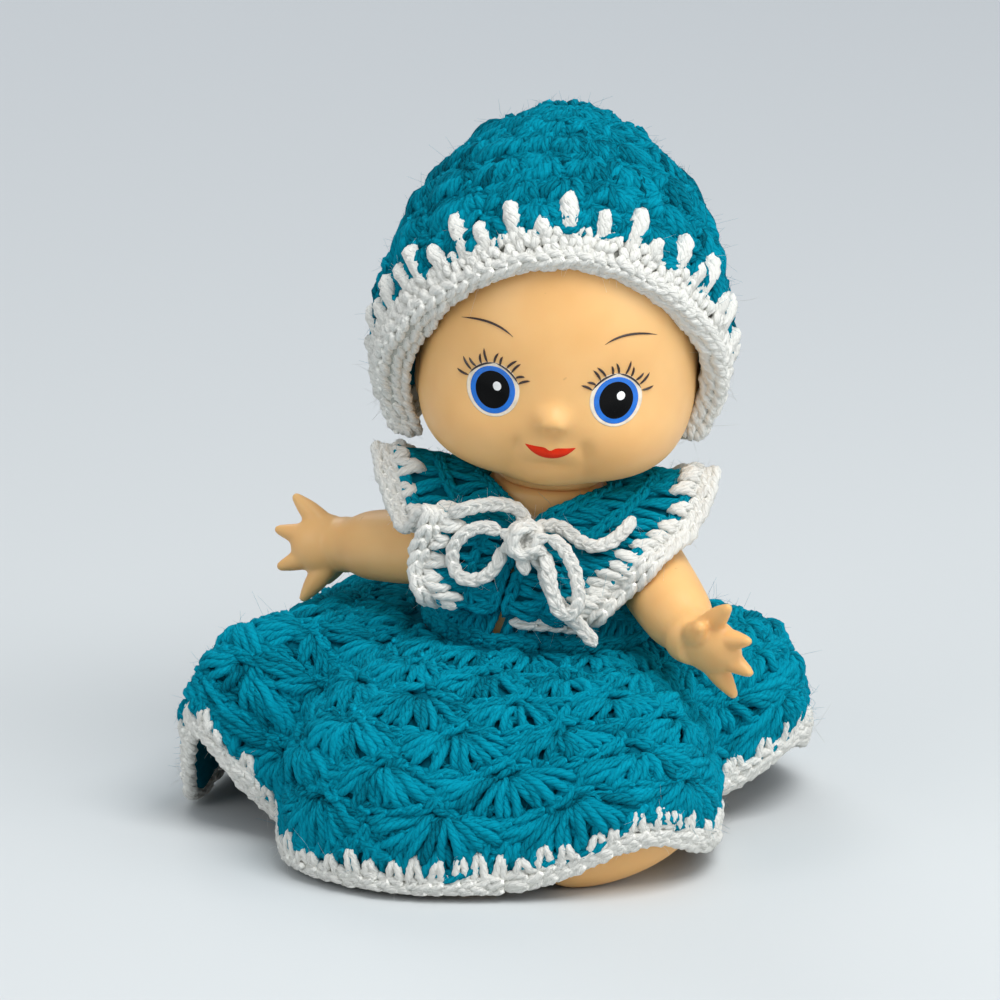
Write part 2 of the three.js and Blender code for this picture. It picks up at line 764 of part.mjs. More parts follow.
function skirtGeometry() {
  const face = (depth) => (around, down) => {
    const turn = around * 360;
    return skirtPoint(turn, down).addScaledVector(skirtNormal(turn, down), -depth);
  };
  return cloth(72, 7, true, face(0), face(skirtThickness));
}

function hemTrimGeometry() {
  return ringOf(72, 6, (around, angle) => {
    const turn = around * 360;
    const out = skirtNormal(turn, 1);
    const down = skirtPoint(turn, 1).sub(skirtPoint(turn, 0.98)).normalize();
    const centre = skirtPoint(turn, 1)
      .addScaledVector(out, -skirtThickness / 2)
      .addScaledVector(down, hemTrimRadius + 2 * runningGap);
    return centre
      .addScaledVector(out, Math.cos(angle) * hemTrimRadius)
      .addScaledVector(down, Math.sin(angle) * hemTrimRadius);
  });
}

// Tie: a chain cord drawn through both collars, its bow of two loops and a long tail on the chest

const knotAt = [-5.6, -28.4, 78.4];
const leftRun = [
  [21.4, -21.4, 83.4], [17.2, -25.4, 79.4], [12.3, -26.8, 77.2], [8.4, -26.4, 78], [5, -25.6, 80],
  [1.6, -25.2, 81.2], [-3.4, -26.6, 80],
];
const rightRun = [
  [-24.6, -26.4, 82.4], [-19.2, -26.6, 84.8], [-11.5, -24.8, 85.6], [-6.8, -25.2, 84], [-5.8, -27, 80],
];
const shortTail = [[-6.6, -29.4, 76], [-5.6, -30, 73], [-4.6, -30, 69.8]];
const leftLoop = [
  [-0.4, -30.4, 75.6], [0.8, -32.8, 72], [2.2, -34.2, 67], [4.4, -34.6, 62], [7, -34.6, 61.4],
  [8.8, -34.4, 64], [8.6, -33.8, 68], [7, -32.8, 73], [4, -31.8, 77.6], [0.2, -30.4, 79.8],
];
const rightLoop = [
  [-11, -28, 75], [-11.6, -28.4, 71.4], [-15, -28.4, 67.4], [-19.8, -28, 66.6], [-22.8, -27.4, 70],
  [-22.4, -27.4, 75.6], [-19.6, -27.4, 78.8], [-15.8, -27, 80], [-11.8, -27.6, 79.4],
];
const longTail = [
  [-0.6, -28.2, 71.4], [1, -29.6, 67.4], [4.4, -30.4, 62.4], [8.4, -30.6, 59], [11.6, -31.2, 55.6],
  [14, -32.6, 53.6],
];

function cord(points, steps) {
  return yarn(points.map((point) => new THREE.Vector3(...point)), cordRadius, steps);
}

function knotGeometry() {
  const knot = pad(knotHalfSize, 12, 8).translate(...knotAt);
  return shape(join(knot, cord(leftRun, 14), cord(rightRun, 12), cord(shortTail, 4)));
}

// The object

const doll = new THREE.Group();
const leaning = new THREE.Group();
leaning.rotation.y = lean;
doll.add(leaning);

leaning.add(mesh('torso', torsoGeometry(), skinColour, 0.45));
leaning.add(mesh('head', headGeometry(), skinColour, 0.42));
leaning.add(mesh('bonnet_crown', bonnetCrownGeometry(), tealColour, 0.95));
leaning.add(mesh('bonnet_band', bonnetBandGeometry(), whiteColour, 0.95));
leaning.add(mesh('bodice', bodiceGeometry(), tealColour, 0.95));

const arm = armGeometry();
const leg = legGeometry();
for (const [side, label, swing] of [[1, 'left', leftArmSwing], [-1, 'right', rightArmSwing]]) {
  const shoulder = new THREE.Group();
  shoulder.position.set(0, 0, shoulderHeight);
  shoulder.rotation.z = -side * shoulderTurnIn * degrees;
  const armPiece = mesh(`arm_${label}`, side > 0 ? arm : mirrored(arm), skinColour, 0.45);
  armPiece.position.x = side * shoulderFlat;
  armPiece.rotation.x = -swing * degrees;
  shoulder.add(armPiece);
  const legPiece = mesh(`leg_${label}`, side > 0 ? leg : mirrored(leg), skinColour, 0.45);
  legPiece.position.set(side * hipFlat, -hipForward, hipHeight);
  legPiece.rotation.x = -(side > 0 ? leftLegLift : rightLegLift) * degrees;
  leaning.add(shoulder, legPiece);
  leaning.add(mesh(`collar_${label}`, collarGeometry(label), tealColour, 0.95));
  leaning.add(mesh(`collar_trim_${label}`, collarTrimGeometry(label), whiteColour, 0.95));
}

leaning.add(mesh('tie_knot', knotGeometry(), whiteColour, 0.95));
leaning.add(mesh('tie_loop_left', cord(leftLoop, 22), whiteColour, 0.95));
leaning.add(mesh('tie_loop_right', cord(rightLoop, 20), whiteColour, 0.95));
leaning.add(mesh('tie_tail', cord(longTail, 12), whiteColour, 0.95));
doll.add(mesh('skirt', skirtGeometry(), tealColour, 0.95));
doll.add(mesh('skirt_hem_trim', hemTrimGeometry(), whiteColour, 0.95));

export default doll;
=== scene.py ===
"""A seated baby doll of soft vinyl in a crocheted dress and bonnet.

Lengths are in millimetres and turned into metres where a mesh is made. The doll faces -Y and its own
left side is +X. Head, body and bodice lean a little to that side; the skirt lies on the floor.
"""

import bpy
import numpy as np
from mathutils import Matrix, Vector


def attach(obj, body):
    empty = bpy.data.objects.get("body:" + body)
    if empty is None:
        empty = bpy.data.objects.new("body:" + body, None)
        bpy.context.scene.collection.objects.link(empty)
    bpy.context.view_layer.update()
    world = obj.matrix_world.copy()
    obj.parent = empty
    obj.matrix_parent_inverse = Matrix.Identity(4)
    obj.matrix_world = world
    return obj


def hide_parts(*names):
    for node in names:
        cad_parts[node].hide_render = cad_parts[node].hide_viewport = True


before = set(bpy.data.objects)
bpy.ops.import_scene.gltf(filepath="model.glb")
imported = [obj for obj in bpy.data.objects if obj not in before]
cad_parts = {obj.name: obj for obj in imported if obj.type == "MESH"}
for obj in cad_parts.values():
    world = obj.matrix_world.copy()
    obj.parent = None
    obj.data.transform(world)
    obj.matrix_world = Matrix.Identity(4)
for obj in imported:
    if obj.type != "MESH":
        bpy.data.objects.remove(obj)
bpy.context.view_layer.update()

# Camera
# The doll is seen from the front and a little from above, as across a table.
camera_target = Vector((-5.5, 0, 79.8)) * 0.001
camera_distance = 3.0
camera_height_angle = np.radians(17)
camera_data = bpy.data.cameras.new("camera")
camera_data.sensor_width = 36
camera_data.lens = 432
camera = bpy.data.objects.new("camera", camera_data)
camera_back = Vector((0, -np.cos(camera_height_angle), np.sin(camera_height_angle)))
camera.location = camera_target + camera_back * camera_distance
camera.rotation_mode = "QUATERNION"
camera.rotation_quaternion = (-camera_back).to_track_quat("-Z", "Y")
bpy.context.scene.collection.objects.link(camera)
bpy.context.scene.camera = camera

# Tie
# A crochet chain of white yarn runs under both collars and is knotted on the chest, with a loop to
# each side, a short tail and a long tail. Each chain link is a loop of yarn drawn through the last.
lean = np.radians(4.5)
draw = np.random.default_rng(7)


def unit(arrows):
    """Arrows of length one: each divided by its own length."""
    return arrows / np.maximum(np.linalg.norm(arrows, axis=-1, keepdims=True), 1e-9)


def leaned(points):
    """Points turned about +Y by the lean: x cos + z sin, y, z cos - x sin."""
    x, y, z = np.moveaxis(np.asarray(points, float), -1, 0)
    return np.stack([x * np.cos(lean) + z * np.sin(lean), y, z * np.cos(lean) - x * np.sin(lean)], -1)


def smooth_line(points, shares):
    """A centripetal Catmull-Rom line: between two points a cubic whose slopes weigh the neighbours
    by the square roots of their distances. Shares run from 0 at the first point to 1 at the last."""
    points = np.asarray(points, float)
    more = np.vstack([2 * points[0] - points[1], points, 2 * points[-1] - points[-2]])
    place = np.clip(shares, 0, 1) * (len(points) - 1)
    first = np.minimum(place.astype(int), len(points) - 2)
    w = (place - first)[..., None]
    p = [more[first + k] for k in range(4)]
    d = [np.linalg.norm(p[k + 1] - p[k], axis=-1, keepdims=True) ** 0.5 for k in range(3)]
    start = ((p[1] - p[0]) / d[0] - (p[2] - p[0]) / (d[0] + d[1]) + (p[2] - p[1]) / d[1]) * d[1]
    end = ((p[2] - p[1]) / d[1] - (p[3] - p[1]) / (d[1] + d[2]) + (p[3] - p[2]) / d[2]) * d[1]
    square = -3 * p[1] + 3 * p[2] - 2 * start - end
    cube = 2 * p[1] - 2 * p[2] + start + end
    return p[1] + start * w + square * w**2 + cube * w**3


def along(line):
    """The length walked at each point of a line, by adding up its steps."""
    steps = np.linalg.norm(np.diff(line, axis=-2), axis=-1)
    return np.concatenate([np.zeros_like(steps[..., :1]), np.cumsum(steps, -1)], -1)


class Link:
    """A shader socket that takes part in sums and products."""

    def __init__(self, finish, socket):
        self.finish = finish
        self.socket = socket

    def maths(self, operation, *others):
        return self.finish.node("ShaderNodeMath", {"operation": operation}, dict(enumerate((self, *others))))

    def __add__(self, other):
        return self.maths("ADD", other)

    def __sub__(self, other):
        return self.maths("SUBTRACT", other)

    def __mul__(self, other):
        return self.maths("MULTIPLY", other)

    def __truediv__(self, other):
        return self.maths("DIVIDE", other)

    def __rsub__(self, other):
        return self.finish.node("ShaderNodeMath", {"operation": "SUBTRACT"}, {0: other, 1: self})

    __radd__ = __add__
    __rmul__ = __mul__

    def within(self, low, high):
        """0 below low, 1 above high, and a smooth step between."""
        return self.finish.node(
            "ShaderNodeMapRange",
            {"interpolation_type": "SMOOTHSTEP"},
            {"Value": self, "From Min": low, "From Max": high},
        )

    def mixed(self, start, end):
        """The colour start where this is 0 and end where it is 1."""
        return self.finish.node(
            "ShaderNodeMix", {"data_type": "RGBA", "clamp_factor": True}, {0: self, 6: start, 7: end}, 2
        )


def linear(colour):
    """A colour of 0 to 255 as light: the screen's curve undone."""
    share = np.array(colour, float) / 255
    light = np.where(share > 0.04045, ((share + 0.055) / 1.055) ** 2.4, share / 12.92)
    return (*light.tolist(), 1.0)


class Finish:
    """A material whose nodes are made one by one from their type, settings and inputs."""

    def __init__(self, name, **constants):
        self.material = bpy.data.materials.new(name)
        self.material.use_nodes = True
        self.tree = self.material.node_tree
        self.shader = self.tree.nodes["Principled BSDF"]
        for socket, value in constants.items():
            self.shader.inputs[socket.replace("_", " ")].default_value = value

    def node(self, kind, settings=None, inputs=None, output=0):
        made = self.tree.nodes.new(kind)
        for name, value in (settings or {}).items():
            setattr(made, name, value)
        for name, value in (inputs or {}).items():
            self.join(made.inputs[name], value)
        return Link(self, made.outputs[output])

    def join(self, socket, value):
        if isinstance(value, Link):
            self.tree.links.new(value.socket, socket)
        else:
            socket.default_value = value

    def set(self, **sockets):
        for name, value in sockets.items():
            self.join(self.shader.inputs[name.replace("_", " ")], value)

    def noise(self, vector, scale, detail=3.0, roughness=0.6):
        inputs = {"Vector": vector, "Scale": scale, "Detail": detail, "Roughness": roughness}
        return self.node("ShaderNodeTexNoise", {}, inputs)

    def bump(self, height, distance, strength=1.0):
        return self.node("ShaderNodeBump", {}, {"Height": height, "Distance": distance, "Strength": strength})


def yarn_finish(name, light, dark, flecks=None, low=0.4, high=1.2):
    """Wool-like yarn: five plies wound slantwise round the strand, with painted shade darkening the grooves
    between them, fine streaks of fibres along them, and clouds of lighter fuzz. Flecks are rare brown spots."""
    finish = Finish(name, Roughness=0.95, Specular_IOR_Level=0.04)
    finish.set(Sheen_Weight=0.25, Sheen_Roughness=0.5, Sheen_Tint=linear(light))
    spot = finish.node("ShaderNodeUVMap")
    around = finish.node("ShaderNodeSeparateXYZ", {}, {0: spot}, 0)
    length = finish.node("ShaderNodeSeparateXYZ", {}, {0: spot}, 1)
    plies, rise = 5.0, 2.0
    wave = ((around * plies + length / rise) * np.pi).maths("SINE")
    ply = wave.maths("ABSOLUTE").within(-0.2, 0.8)
    slant = finish.node("ShaderNodeCombineXYZ", {}, {0: around * 8.0 + length * 0.9, 1: length * 0.3})
    fibres = finish.noise(slant, 3.0, 5.0, 0.78)
    place = finish.node("ShaderNodeTexCoord", {}, {}, 3)
    wool = finish.noise(place, 420.0, 3.0, 0.65)
    fuzz = finish.noise(place, 1600.0, 3.0, 0.7)
    clouds = finish.noise(place, 60.0, 2.0, 0.5)
    # The tint attribute holds each strand's own random tone together with painted light: painted shade where
    # strands sink into holes, lie under chains or fill gaps, and a painted highlight on loose fibres.
    tint = finish.node("ShaderNodeAttribute", {"attribute_name": "tint"}, {}, 2)
    # The ply pattern darkens the colour in the grooves between plies: painted shade.
    share = ply * 0.2 + fibres * 0.85 + wool * 0.3 + fuzz * 0.3 + clouds * 0.25 + tint
    colour = share.within(low, high).mixed(linear(dark), linear(light))
    if flecks:
        colour = clouds.within(0.68, 0.73).mixed(colour, linear(flecks))
    height = ply * 0.8 + fibres * 1.5 + wool * 0.8 + fuzz * 0.6
    finish.set(Base_Color=colour, Normal=finish.bump(height, 0.00034, 1.0))
    return finish.material


class Skein:
    """Yarn of one piece, gathered as arrays of corners and faces before it becomes a mesh."""

    def __init__(self):
        self.points, self.tints, self.roots = [], [], []
        self.faces, self.spots = {3: [], 4: []}, {3: [], 4: []}
        self.count = 0

    def lay(self, centres, outwards, radius, sides=7, ply=0.13, pitch=4.6, tint=0.0, blunt=0.45):
        """Closed strands. A ring about each centre: r (cos a across + sin a out), where
        r = radius (1 + ply cos 2(a - 2 pi length / pitch)), and drawn in at both ends."""
        shape = centres.shape
        centres = centres.reshape(-1, shape[-2], 3)
        outwards = np.broadcast_to(outwards, shape).reshape(centres.shape)
        count, stations, _ = centres.shape
        ahead = unit(np.gradient(centres, axis=1))
        across = unit(np.cross(outwards, ahead))
        out = np.cross(ahead, across)
        if sides > 3:
            surface = centres + out * np.mean(radius) * 0.8
            self.roots.append(np.concatenate([surface, out, ahead], -1)[:, 1:-1].reshape(-1, 9))
        length = along(centres) + draw.uniform(0, 20, (count, 1))
        angle = np.arange(sides) / sides * 2 * np.pi
        relief = 1 + ply * np.cos(2 * (angle - 2 * np.pi * length[..., None] / pitch))
        ends = np.ones(stations)
        ends[[0, -1]] = blunt
        ends[[1, -2]] = 0.5 + 0.5 * blunt
        size = (np.broadcast_to(radius, (count, stations)) * ends)[..., None] * relief
        rings = centres[:, :, None] + size[..., None] * (
            np.cos(angle)[:, None] * across[:, :, None] + np.sin(angle)[:, None] * out[:, :, None]
        )
        tips = centres[:, [0, -1]] + ahead[:, [0, -1]] * np.array([-1, 1])[:, None] * 0.35 * np.mean(radius)
        block = stations * sides + 2
        self.points.append(np.concatenate([rings.reshape(count, -1, 3), tips], 1).reshape(-1, 3))
        start = self.count + np.arange(count)[:, None, None] * block
        here = start + (np.arange(stations - 1) * sides)[:, None] + np.arange(sides)
        beside = start + (np.arange(stations - 1) * sides)[:, None] + (np.arange(sides) + 1) % sides
        self.faces[4].append(np.stack([here, beside, beside + sides, here + sides], -1).reshape(-1, 4))
        u = np.arange(sides) / sides + np.zeros_like(here)
        low, high = (np.broadcast_to(v[..., None], here.shape) for v in (length[:, :-1], length[:, 1:]))
        corners = [(u, low), (u + 1 / sides, low), (u + 1 / sides, high), (u, high)]
        self.spots[4].append(np.stack([np.stack(c, -1) for c in corners], -2).reshape(-1, 2))
        for row, tip, order in ((0, block - 2, (1, 0)), (stations - 1, block - 1, (0, 1))):
            ring = start[:, 0] + row * sides + np.arange(sides)
            after = start[:, 0] + row * sides + (np.arange(sides) + 1) % sides
            pair = [ring, after]
            middle = start[:, 0] + tip + 0 * ring
            self.faces[3].append(np.stack([middle, pair[order[0]], pair[order[1]]], -1).reshape(-1, 3))
            spot = np.stack([u[:, 0], np.broadcast_to(length[:, row, None], ring.shape)], -1)
            self.spots[3].append(np.repeat(spot.reshape(-1, 2), 3, 0))
        shade = np.broadcast_to(tint, (count, stations)) + draw.normal(0, 0.06, (count, 1))
        shade = np.concatenate([np.repeat(shade, sides, 1), shade[:, [0, -1]]], 1)
        self.tints.append(shade.ravel())
        self.count += count * block

    def fluff(self, count, radius=0.042):
        """Loose fibres: from random places on the strands each runs out along its length times its share and
        curls back by a random amount with the share's square. Most are short, few long. They are drawn 0.25
        lighter than the strands as a painted highlight."""
        roots = np.concatenate(self.roots)
        root, out, ahead = np.split(roots[draw.integers(0, len(roots), count)], 3, 1)
        rise = draw.uniform(0.2, 1.0, (count, 1))
        aim = unit(out * rise + ahead * draw.normal(0, 0.8, (count, 1)) + draw.normal(0, 0.5, (count, 3)))
        bend = draw.normal(0, 0.7, (count, 3)) - 0.3 * out
        reach = np.minimum(0.7 + draw.exponential(0.75, (count, 1, 1)), 4.5)
        share = np.linspace(0, 1, 3)[:, None]
        line = root[:, None] + reach * (share * aim[:, None] + share**2 * bend[:, None])
        side = unit(np.cross(aim, draw.normal(0, 1, (count, 3))))[:, None]
        self.lay(line, side, radius, 3, ply=0.0, tint=0.25, blunt=0.4)

    def piece(self, name, material):
        """The gathered yarn as one mesh object. Yarn that would reach under the floor is pressed on to
        it: below the soft height s a height z becomes s e^((z - s) / s)."""
        soft = 4
        points = np.concatenate(self.points)
        z = points[:, 2]
        points[:, 2] = np.where(z < soft, soft * np.exp((z - soft) / soft), z)
        faces = [np.concatenate(self.faces[k]) for k in (3, 4)]
        spots = np.concatenate([np.concatenate(self.spots[k]) for k in (3, 4)])
        return make_piece(name, points, faces, material, spots, np.concatenate(self.tints))


def make_piece(name, points, faces, material, spots=None, tints=None):
    """A mesh object in metres from corners in millimetres and arrays of equal-sided faces."""
    mesh = bpy.data.meshes.new(name)
    mesh.vertices.add(len(points))
    mesh.vertices.foreach_set("co", (points * 0.001).astype(np.float32).ravel())
    corners = np.concatenate([group.ravel() for group in faces])
    sizes = np.concatenate([np.full(len(group), group.shape[1]) for group in faces])
    mesh.loops.add(len(corners))
    mesh.loops.foreach_set("vertex_index", corners.astype(np.int32))
    mesh.polygons.add(len(sizes))
    mesh.polygons.foreach_set("loop_start", np.concatenate([[0], np.cumsum(sizes)[:-1]]).astype(np.int32))
    mesh.polygons.foreach_set("use_smooth", np.full(len(sizes), True))
    mesh.update(calc_edges=True)
    if spots is not None:
        mesh.uv_layers.new(name="UVMap").data.foreach_set("uv", spots.astype(np.float32).ravel())
    if tints is not None:
        shade = mesh.attributes.new("tint", "FLOAT", "POINT")
        shade.data.foreach_set("value", tints.astype(np.float32))
    mesh.materials.append(material)
    made = bpy.data.objects.new(name, mesh)
    bpy.context.scene.collection.objects.link(made)
    return made


def wandered(points, reach):
    """Places moved by a soft uneven field, times the reach: sines of slanting waves 13 to 15 mm long, and
    0.6 times the sines of waves 2.3 times shorter."""
    waves = np.array([[0.31, 0.17, -0.23], [-0.19, 0.36, 0.21], [0.12, -0.28, 0.35]])
    phase = points @ waves.T
    return points + reach * (np.sin(phase + 1.0) + 0.6 * np.sin(2.3 * phase[..., [1, 2, 0]] + 2.0))


def chain(skein, line, outwards, pitch, radius, width, tint=0.0, loose=0.08):
    """Chain links along a line. A leg of a link leaves the middle, swings out by width times the sine
    of its share to the power 0.75 and comes back 1.7 pitches on, while it climbs from under the line
    to over it."""
    length = along(line)
    overlap = 0.7
    links = max(int(length[-1] / pitch - overlap), 1)
    share = np.linspace(0, 1, 9)
    walked = (np.arange(links)[:, None] + (1 + overlap) * share) * length[-1] / (links + overlap)
    centre = np.stack([np.interp(walked, length, line[:, k]) for k in range(3)], -1)
    up = unit(np.stack([np.interp(walked, length, outwards[:, k]) for k in range(3)], -1))
    ahead = unit(np.gradient(centre, axis=1))
    across = unit(np.cross(up, ahead))
    swing = (np.sin(np.pi * share) ** 0.75 * width)[:, None]
    climb = ((share - 0.5) * 1.5 * radius)[:, None]
    for side in (-1, 1):
        strand = centre + side * swing * across + climb * up + draw.normal(0, loose, (links, 1, 3))
        skein.lay(strand, up, radius, 6, tint=tint, blunt=0.7)


white_yarn = yarn_finish("white_yarn", (255, 254, 247), (196, 197, 190), low=0.2, high=0.85)

tie_facing = [0.15, -1, 0.1]
knot_at = [-5.6, -28.4, 78.4]
left_run = [
    [21.4, -21.4, 83.4], [17.2, -25.4, 79.4], [12.3, -26.8, 77.2], [8.4, -26.4, 78], [5, -25.6, 80],
    [1.6, -25.2, 81.2], [-3.4, -26.6, 80],
]
right_run = [
    [-24.6, -26.4, 82.4], [-19.2, -26.6, 84.8], [-11.5, -24.8, 85.6], [-6.8, -25.2, 84], [-5.8, -27, 80],
]
short_tail = [[-6.6, -29.4, 76], [-5.6, -30, 73], [-4.6, -30, 69.8]]
left_loop = [
    [-0.4, -30.4, 75.6], [0.8, -32.8, 72], [2.2, -34.2, 67], [4.4, -34.6, 62], [7, -34.6, 61.4],
    [8.8, -34.4, 64], [8.6, -33.8, 68], [7, -32.8, 73], [4, -31.8, 77.6], [0.2, -30.4, 79.8],
]
right_loop = [
    [-11, -28, 75], [-11.6, -28.4, 71.4], [-15, -28.4, 67.4], [-19.8, -28, 66.6], [-22.8, -27.4, 70],
    [-22.4, -27.4, 75.6], [-19.6, -27.4, 78.8], [-15.8, -27, 80], [-11.8, -27.6, 79.4],
]
long_tail = [
    [-0.6, -28.2, 71.4], [1, -29.6, 67.4], [4.4, -30.4, 62.4], [8.4, -30.6, 59], [11.6, -31.2, 55.6],
    [14, -32.6, 53.6],
]
tie_routes = {
    "tie_cord_left": left_run + [[-3.6, -27.8, 76.6], [-2.4, -28, 74]] + long_tail,
    "tie_cord_right": right_run + short_tail,
    "tie_bow_left": left_loop,
    "tie_bow_right": right_loop,
}
tie_stands_for = {
    "tie_cord_left": ["tie_tail"],
    "tie_bow_left": ["tie_loop_left"],
    "tie_bow_right": ["tie_loop_right"],
}

# The knot: three turns of the same cord pulled tight about the crossing, and the ends that leave it
wrap_width, wrap_depth, wrap_forward, stub_bow = 3.4, 1.6, 0.9, 1.2
knot_yarn = Skein()
turn = np.linspace(0, 2 * np.pi, 26)
for tilt, wrap_height in ((0.5, 4.0), (-0.6, 3.4), (1.7, 2.8)):
    x, y, z = np.cos(turn) * wrap_width, np.sin(turn) * wrap_depth - wrap_forward, np.sin(turn) * wrap_height
    ring = np.stack([x * np.cos(tilt) + z * np.sin(tilt), y, z * np.cos(tilt) - x * np.sin(tilt)], -1)
    wrap = leaned(ring + knot_at)
    chain(knot_yarn, wrap, unit(wrap - leaned(knot_at)), pitch=2.9, radius=1.05, width=0.95)
cord_ends = [left_loop[0], left_loop[-1], right_loop[0], right_loop[-1], long_tail[0]]
for start in cord_ends + [left_run[-1], right_run[-1]]:
    middle = (np.array(start) + knot_at) / 2 - [0, stub_bow, 0]
    stub = leaned(smooth_line([knot_at, middle.tolist(), start], np.linspace(0, 1, 14)))
    chain(knot_yarn, stub, np.broadcast_to(tie_facing, stub.shape), pitch=2.6, radius=0.95, width=0.95)
knot_yarn.fluff(136)
tie_knot = knot_yarn.piece("tie_knot_wraps", white_yarn)
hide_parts("tie_knot")
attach(tie_knot, "torso")

# The four stretches: links round a core strand darkened by 0.25 as painted shade under the links
loose_yarn = Skein()
for name, route in tie_routes.items():
    line = leaned(smooth_line(route, np.linspace(0, 1, 8 * len(route))))
    cord_yarn = Skein()
    chain(cord_yarn, line, np.broadcast_to(tie_facing, line.shape), pitch=2.8, radius=0.92, width=0.95)
    cord_yarn.lay(line[None], tie_facing, radius=1.0, tint=-0.25)
    loose_yarn.roots += cord_yarn.roots
    cord = cord_yarn.piece(name, white_yarn)
    if name in tie_stands_for:
        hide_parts(*tie_stands_for[name])
    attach(cord, "torso")
    walked = float(along(line)[-1]) * 0.001
    tuple(line[0] * 0.001)
    (line * 0.001).tolist()
loose_yarn.fluff(682)
tie_fluff = loose_yarn.piece("tie_fluff", white_yarn)
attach(tie_fluff, "torso")

# Body
# Rotation-moulded soft vinyl, hollow, with a flat where each limb turns. Most of it is under the dress.
hip_height, hip_forward, hip_flat, leg_root = 17.0, 4.0, 16.0, 14.6
shoulder_height, shoulder_flat, shoulder_turn_in = 67.4, 22.0, np.radians(12)
torso_top, torso_bottom, waist_height, chest_height = 86.0, -2.0, 50.0, 60.0
seat_clearance, hip_flat_rim, shoulder_flat_radius, body_square = 0.05, 1.0, 13.0, 0.86
torso_stations = np.array([
    [-2, 11, 13], [2, 16.5, 18.5], [17, 18, 20.5], [32.6, 17.2, 21.1], [40, 23.4, 22], [45, 25, 22],
    [60, 24.6, 20.5], [70.4, 23.4, 18.4], [79, 18.5, 15.6], [85, 14.6, 14.2], [86, 13.4, 13.4],
])


def power(values, exponent):
    """The size raised to the exponent, with the sign kept."""
    return np.sign(values) * np.abs(values) ** exponent


def bell(values, width):
    """1 at nought, and e to the power of minus the square of value by width elsewhere."""
    return np.exp(-((values / width) ** 2))


def torso_at(height, turn, margin=0.0):
    """The body's skin: half width and half depth by height, times powers of sine and cosine of turn."""
    half_width = np.interp(height, torso_stations[:, 0], torso_stations[:, 1]) + margin
    half_depth = np.interp(height, torso_stations[:, 0], torso_stations[:, 2]) + margin
    x = half_width * power(np.sin(np.radians(turn)), body_square)
    y = -half_depth * power(np.cos(np.radians(turn)), body_square)
    return np.stack(np.broadcast_arrays(x, y, height), -1)


def grid_faces(rows, columns, joined=True):
    """Quads over a grid of corners, joined round if asked, facing out where rows run down."""
    across = columns if joined else columns + 1
    j, i = np.mgrid[0:rows, 0:columns]
    here = j * across + i
    beside = j * across + (i + 1) % across
    return np.stack([here, here + across, beside + across, beside], -1).reshape(-1, 4)


def closed_rings(rings):
    """A skin over rings from top to bottom with a fan at each end: corners, quads and triangles."""
    rows, columns, _ = rings.shape
    points = np.concatenate([rings.reshape(-1, 3), rings[:1].mean(1), rings[-1:].mean(1)])
    i = np.arange(columns)
    after = (i + 1) % columns
    top = np.stack([np.full(columns, rows * columns), i, after], -1)
    last = (rows - 1) * columns
    bottom = np.stack([np.full(columns, rows * columns + 1), last + after, last + i], -1)
    return points, [grid_faces(rows - 1, columns), np.concatenate([top, bottom])]


def joined_shapes(shapes):
    """Several closed skins as one set of corners and faces."""
    points, quads, triangles, count = [], [], [], 0
    for corners, (four, three) in shapes:
        points.append(corners)
        quads.append(four + count)
        triangles.append(three + count)
        count += len(corners)
    return np.concatenate(points), [np.concatenate(quads), np.concatenate(triangles)]


def vinyl_finish(name, base, shade, roughness):
    """Soft matt vinyl: even, a little see-through, with faint clouds in its colour and fine grain."""
    finish = Finish(name, Subsurface_Weight=0.16, Subsurface_Scale=0.006, IOR=1.45)
    finish.set(Subsurface_Radius=(1.0, 0.45, 0.2), Coat_Weight=0.05, Coat_Roughness=0.35)
    place = finish.node("ShaderNodeTexCoord", {}, {}, 3)
    clouds = finish.noise(place, 34.0, 3.0, 0.55)
    grain = finish.noise(place, 900.0, 2.0, 0.5)
    specks = finish.noise(place, 430.0, 1.0, 0.5).within(0.79, 0.82)
    tone = clouds.within(0.3, 0.72).mixed(linear(base), linear(shade))
    finish.set(Base_Color=(specks * 0.2).mixed(tone, linear((128, 84, 50))))
    finish.set(Roughness=roughness + (clouds - 0.5) * 0.16)
    finish.set(Normal=finish.bump(clouds * 0.6 + grain * 0.18, 0.0003, 0.35))
    return finish.material


vinyl = vinyl_finish("soft_vinyl", (240, 191, 126), (231, 177, 110), 0.42)

# The skin is cut flat where it passes the plane of a limb's root, below the hips' rims and round the
# shoulders' axes, and lies flat on the seat
skin = torso_at(
    torso_bottom + (torso_top - torso_bottom) * np.linspace(1, 0, 80)[:, None], np.arange(100) / 100 * 360
)
x, y, z = np.moveaxis(skin, -1, 0)
x = np.where(z < hip_height + leg_root + hip_flat_rim, np.clip(x, -hip_flat, hip_flat), x)
axis_out = np.abs(x) * np.cos(shoulder_turn_in) - y * np.sin(shoulder_turn_in)
axis_aside = np.abs(x) * np.sin(shoulder_turn_in) + y * np.cos(shoulder_turn_in)
near_shoulder = np.hypot(axis_aside, z - shoulder_height) < shoulder_flat_radius
excess = np.where(near_shoulder, np.maximum(axis_out - shoulder_flat, 0), 0)
x = x - np.sign(x) * excess * np.cos(shoulder_turn_in)
y = y + excess * np.sin(shoulder_turn_in)
skin = leaned(np.stack([x, y, z], -1))
skin[..., 2] = np.maximum(skin[..., 2], seat_clearance)
torso_skin = make_piece("torso_skin", *closed_rings(skin), vinyl)
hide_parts("torso")
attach(torso_skin, "torso")

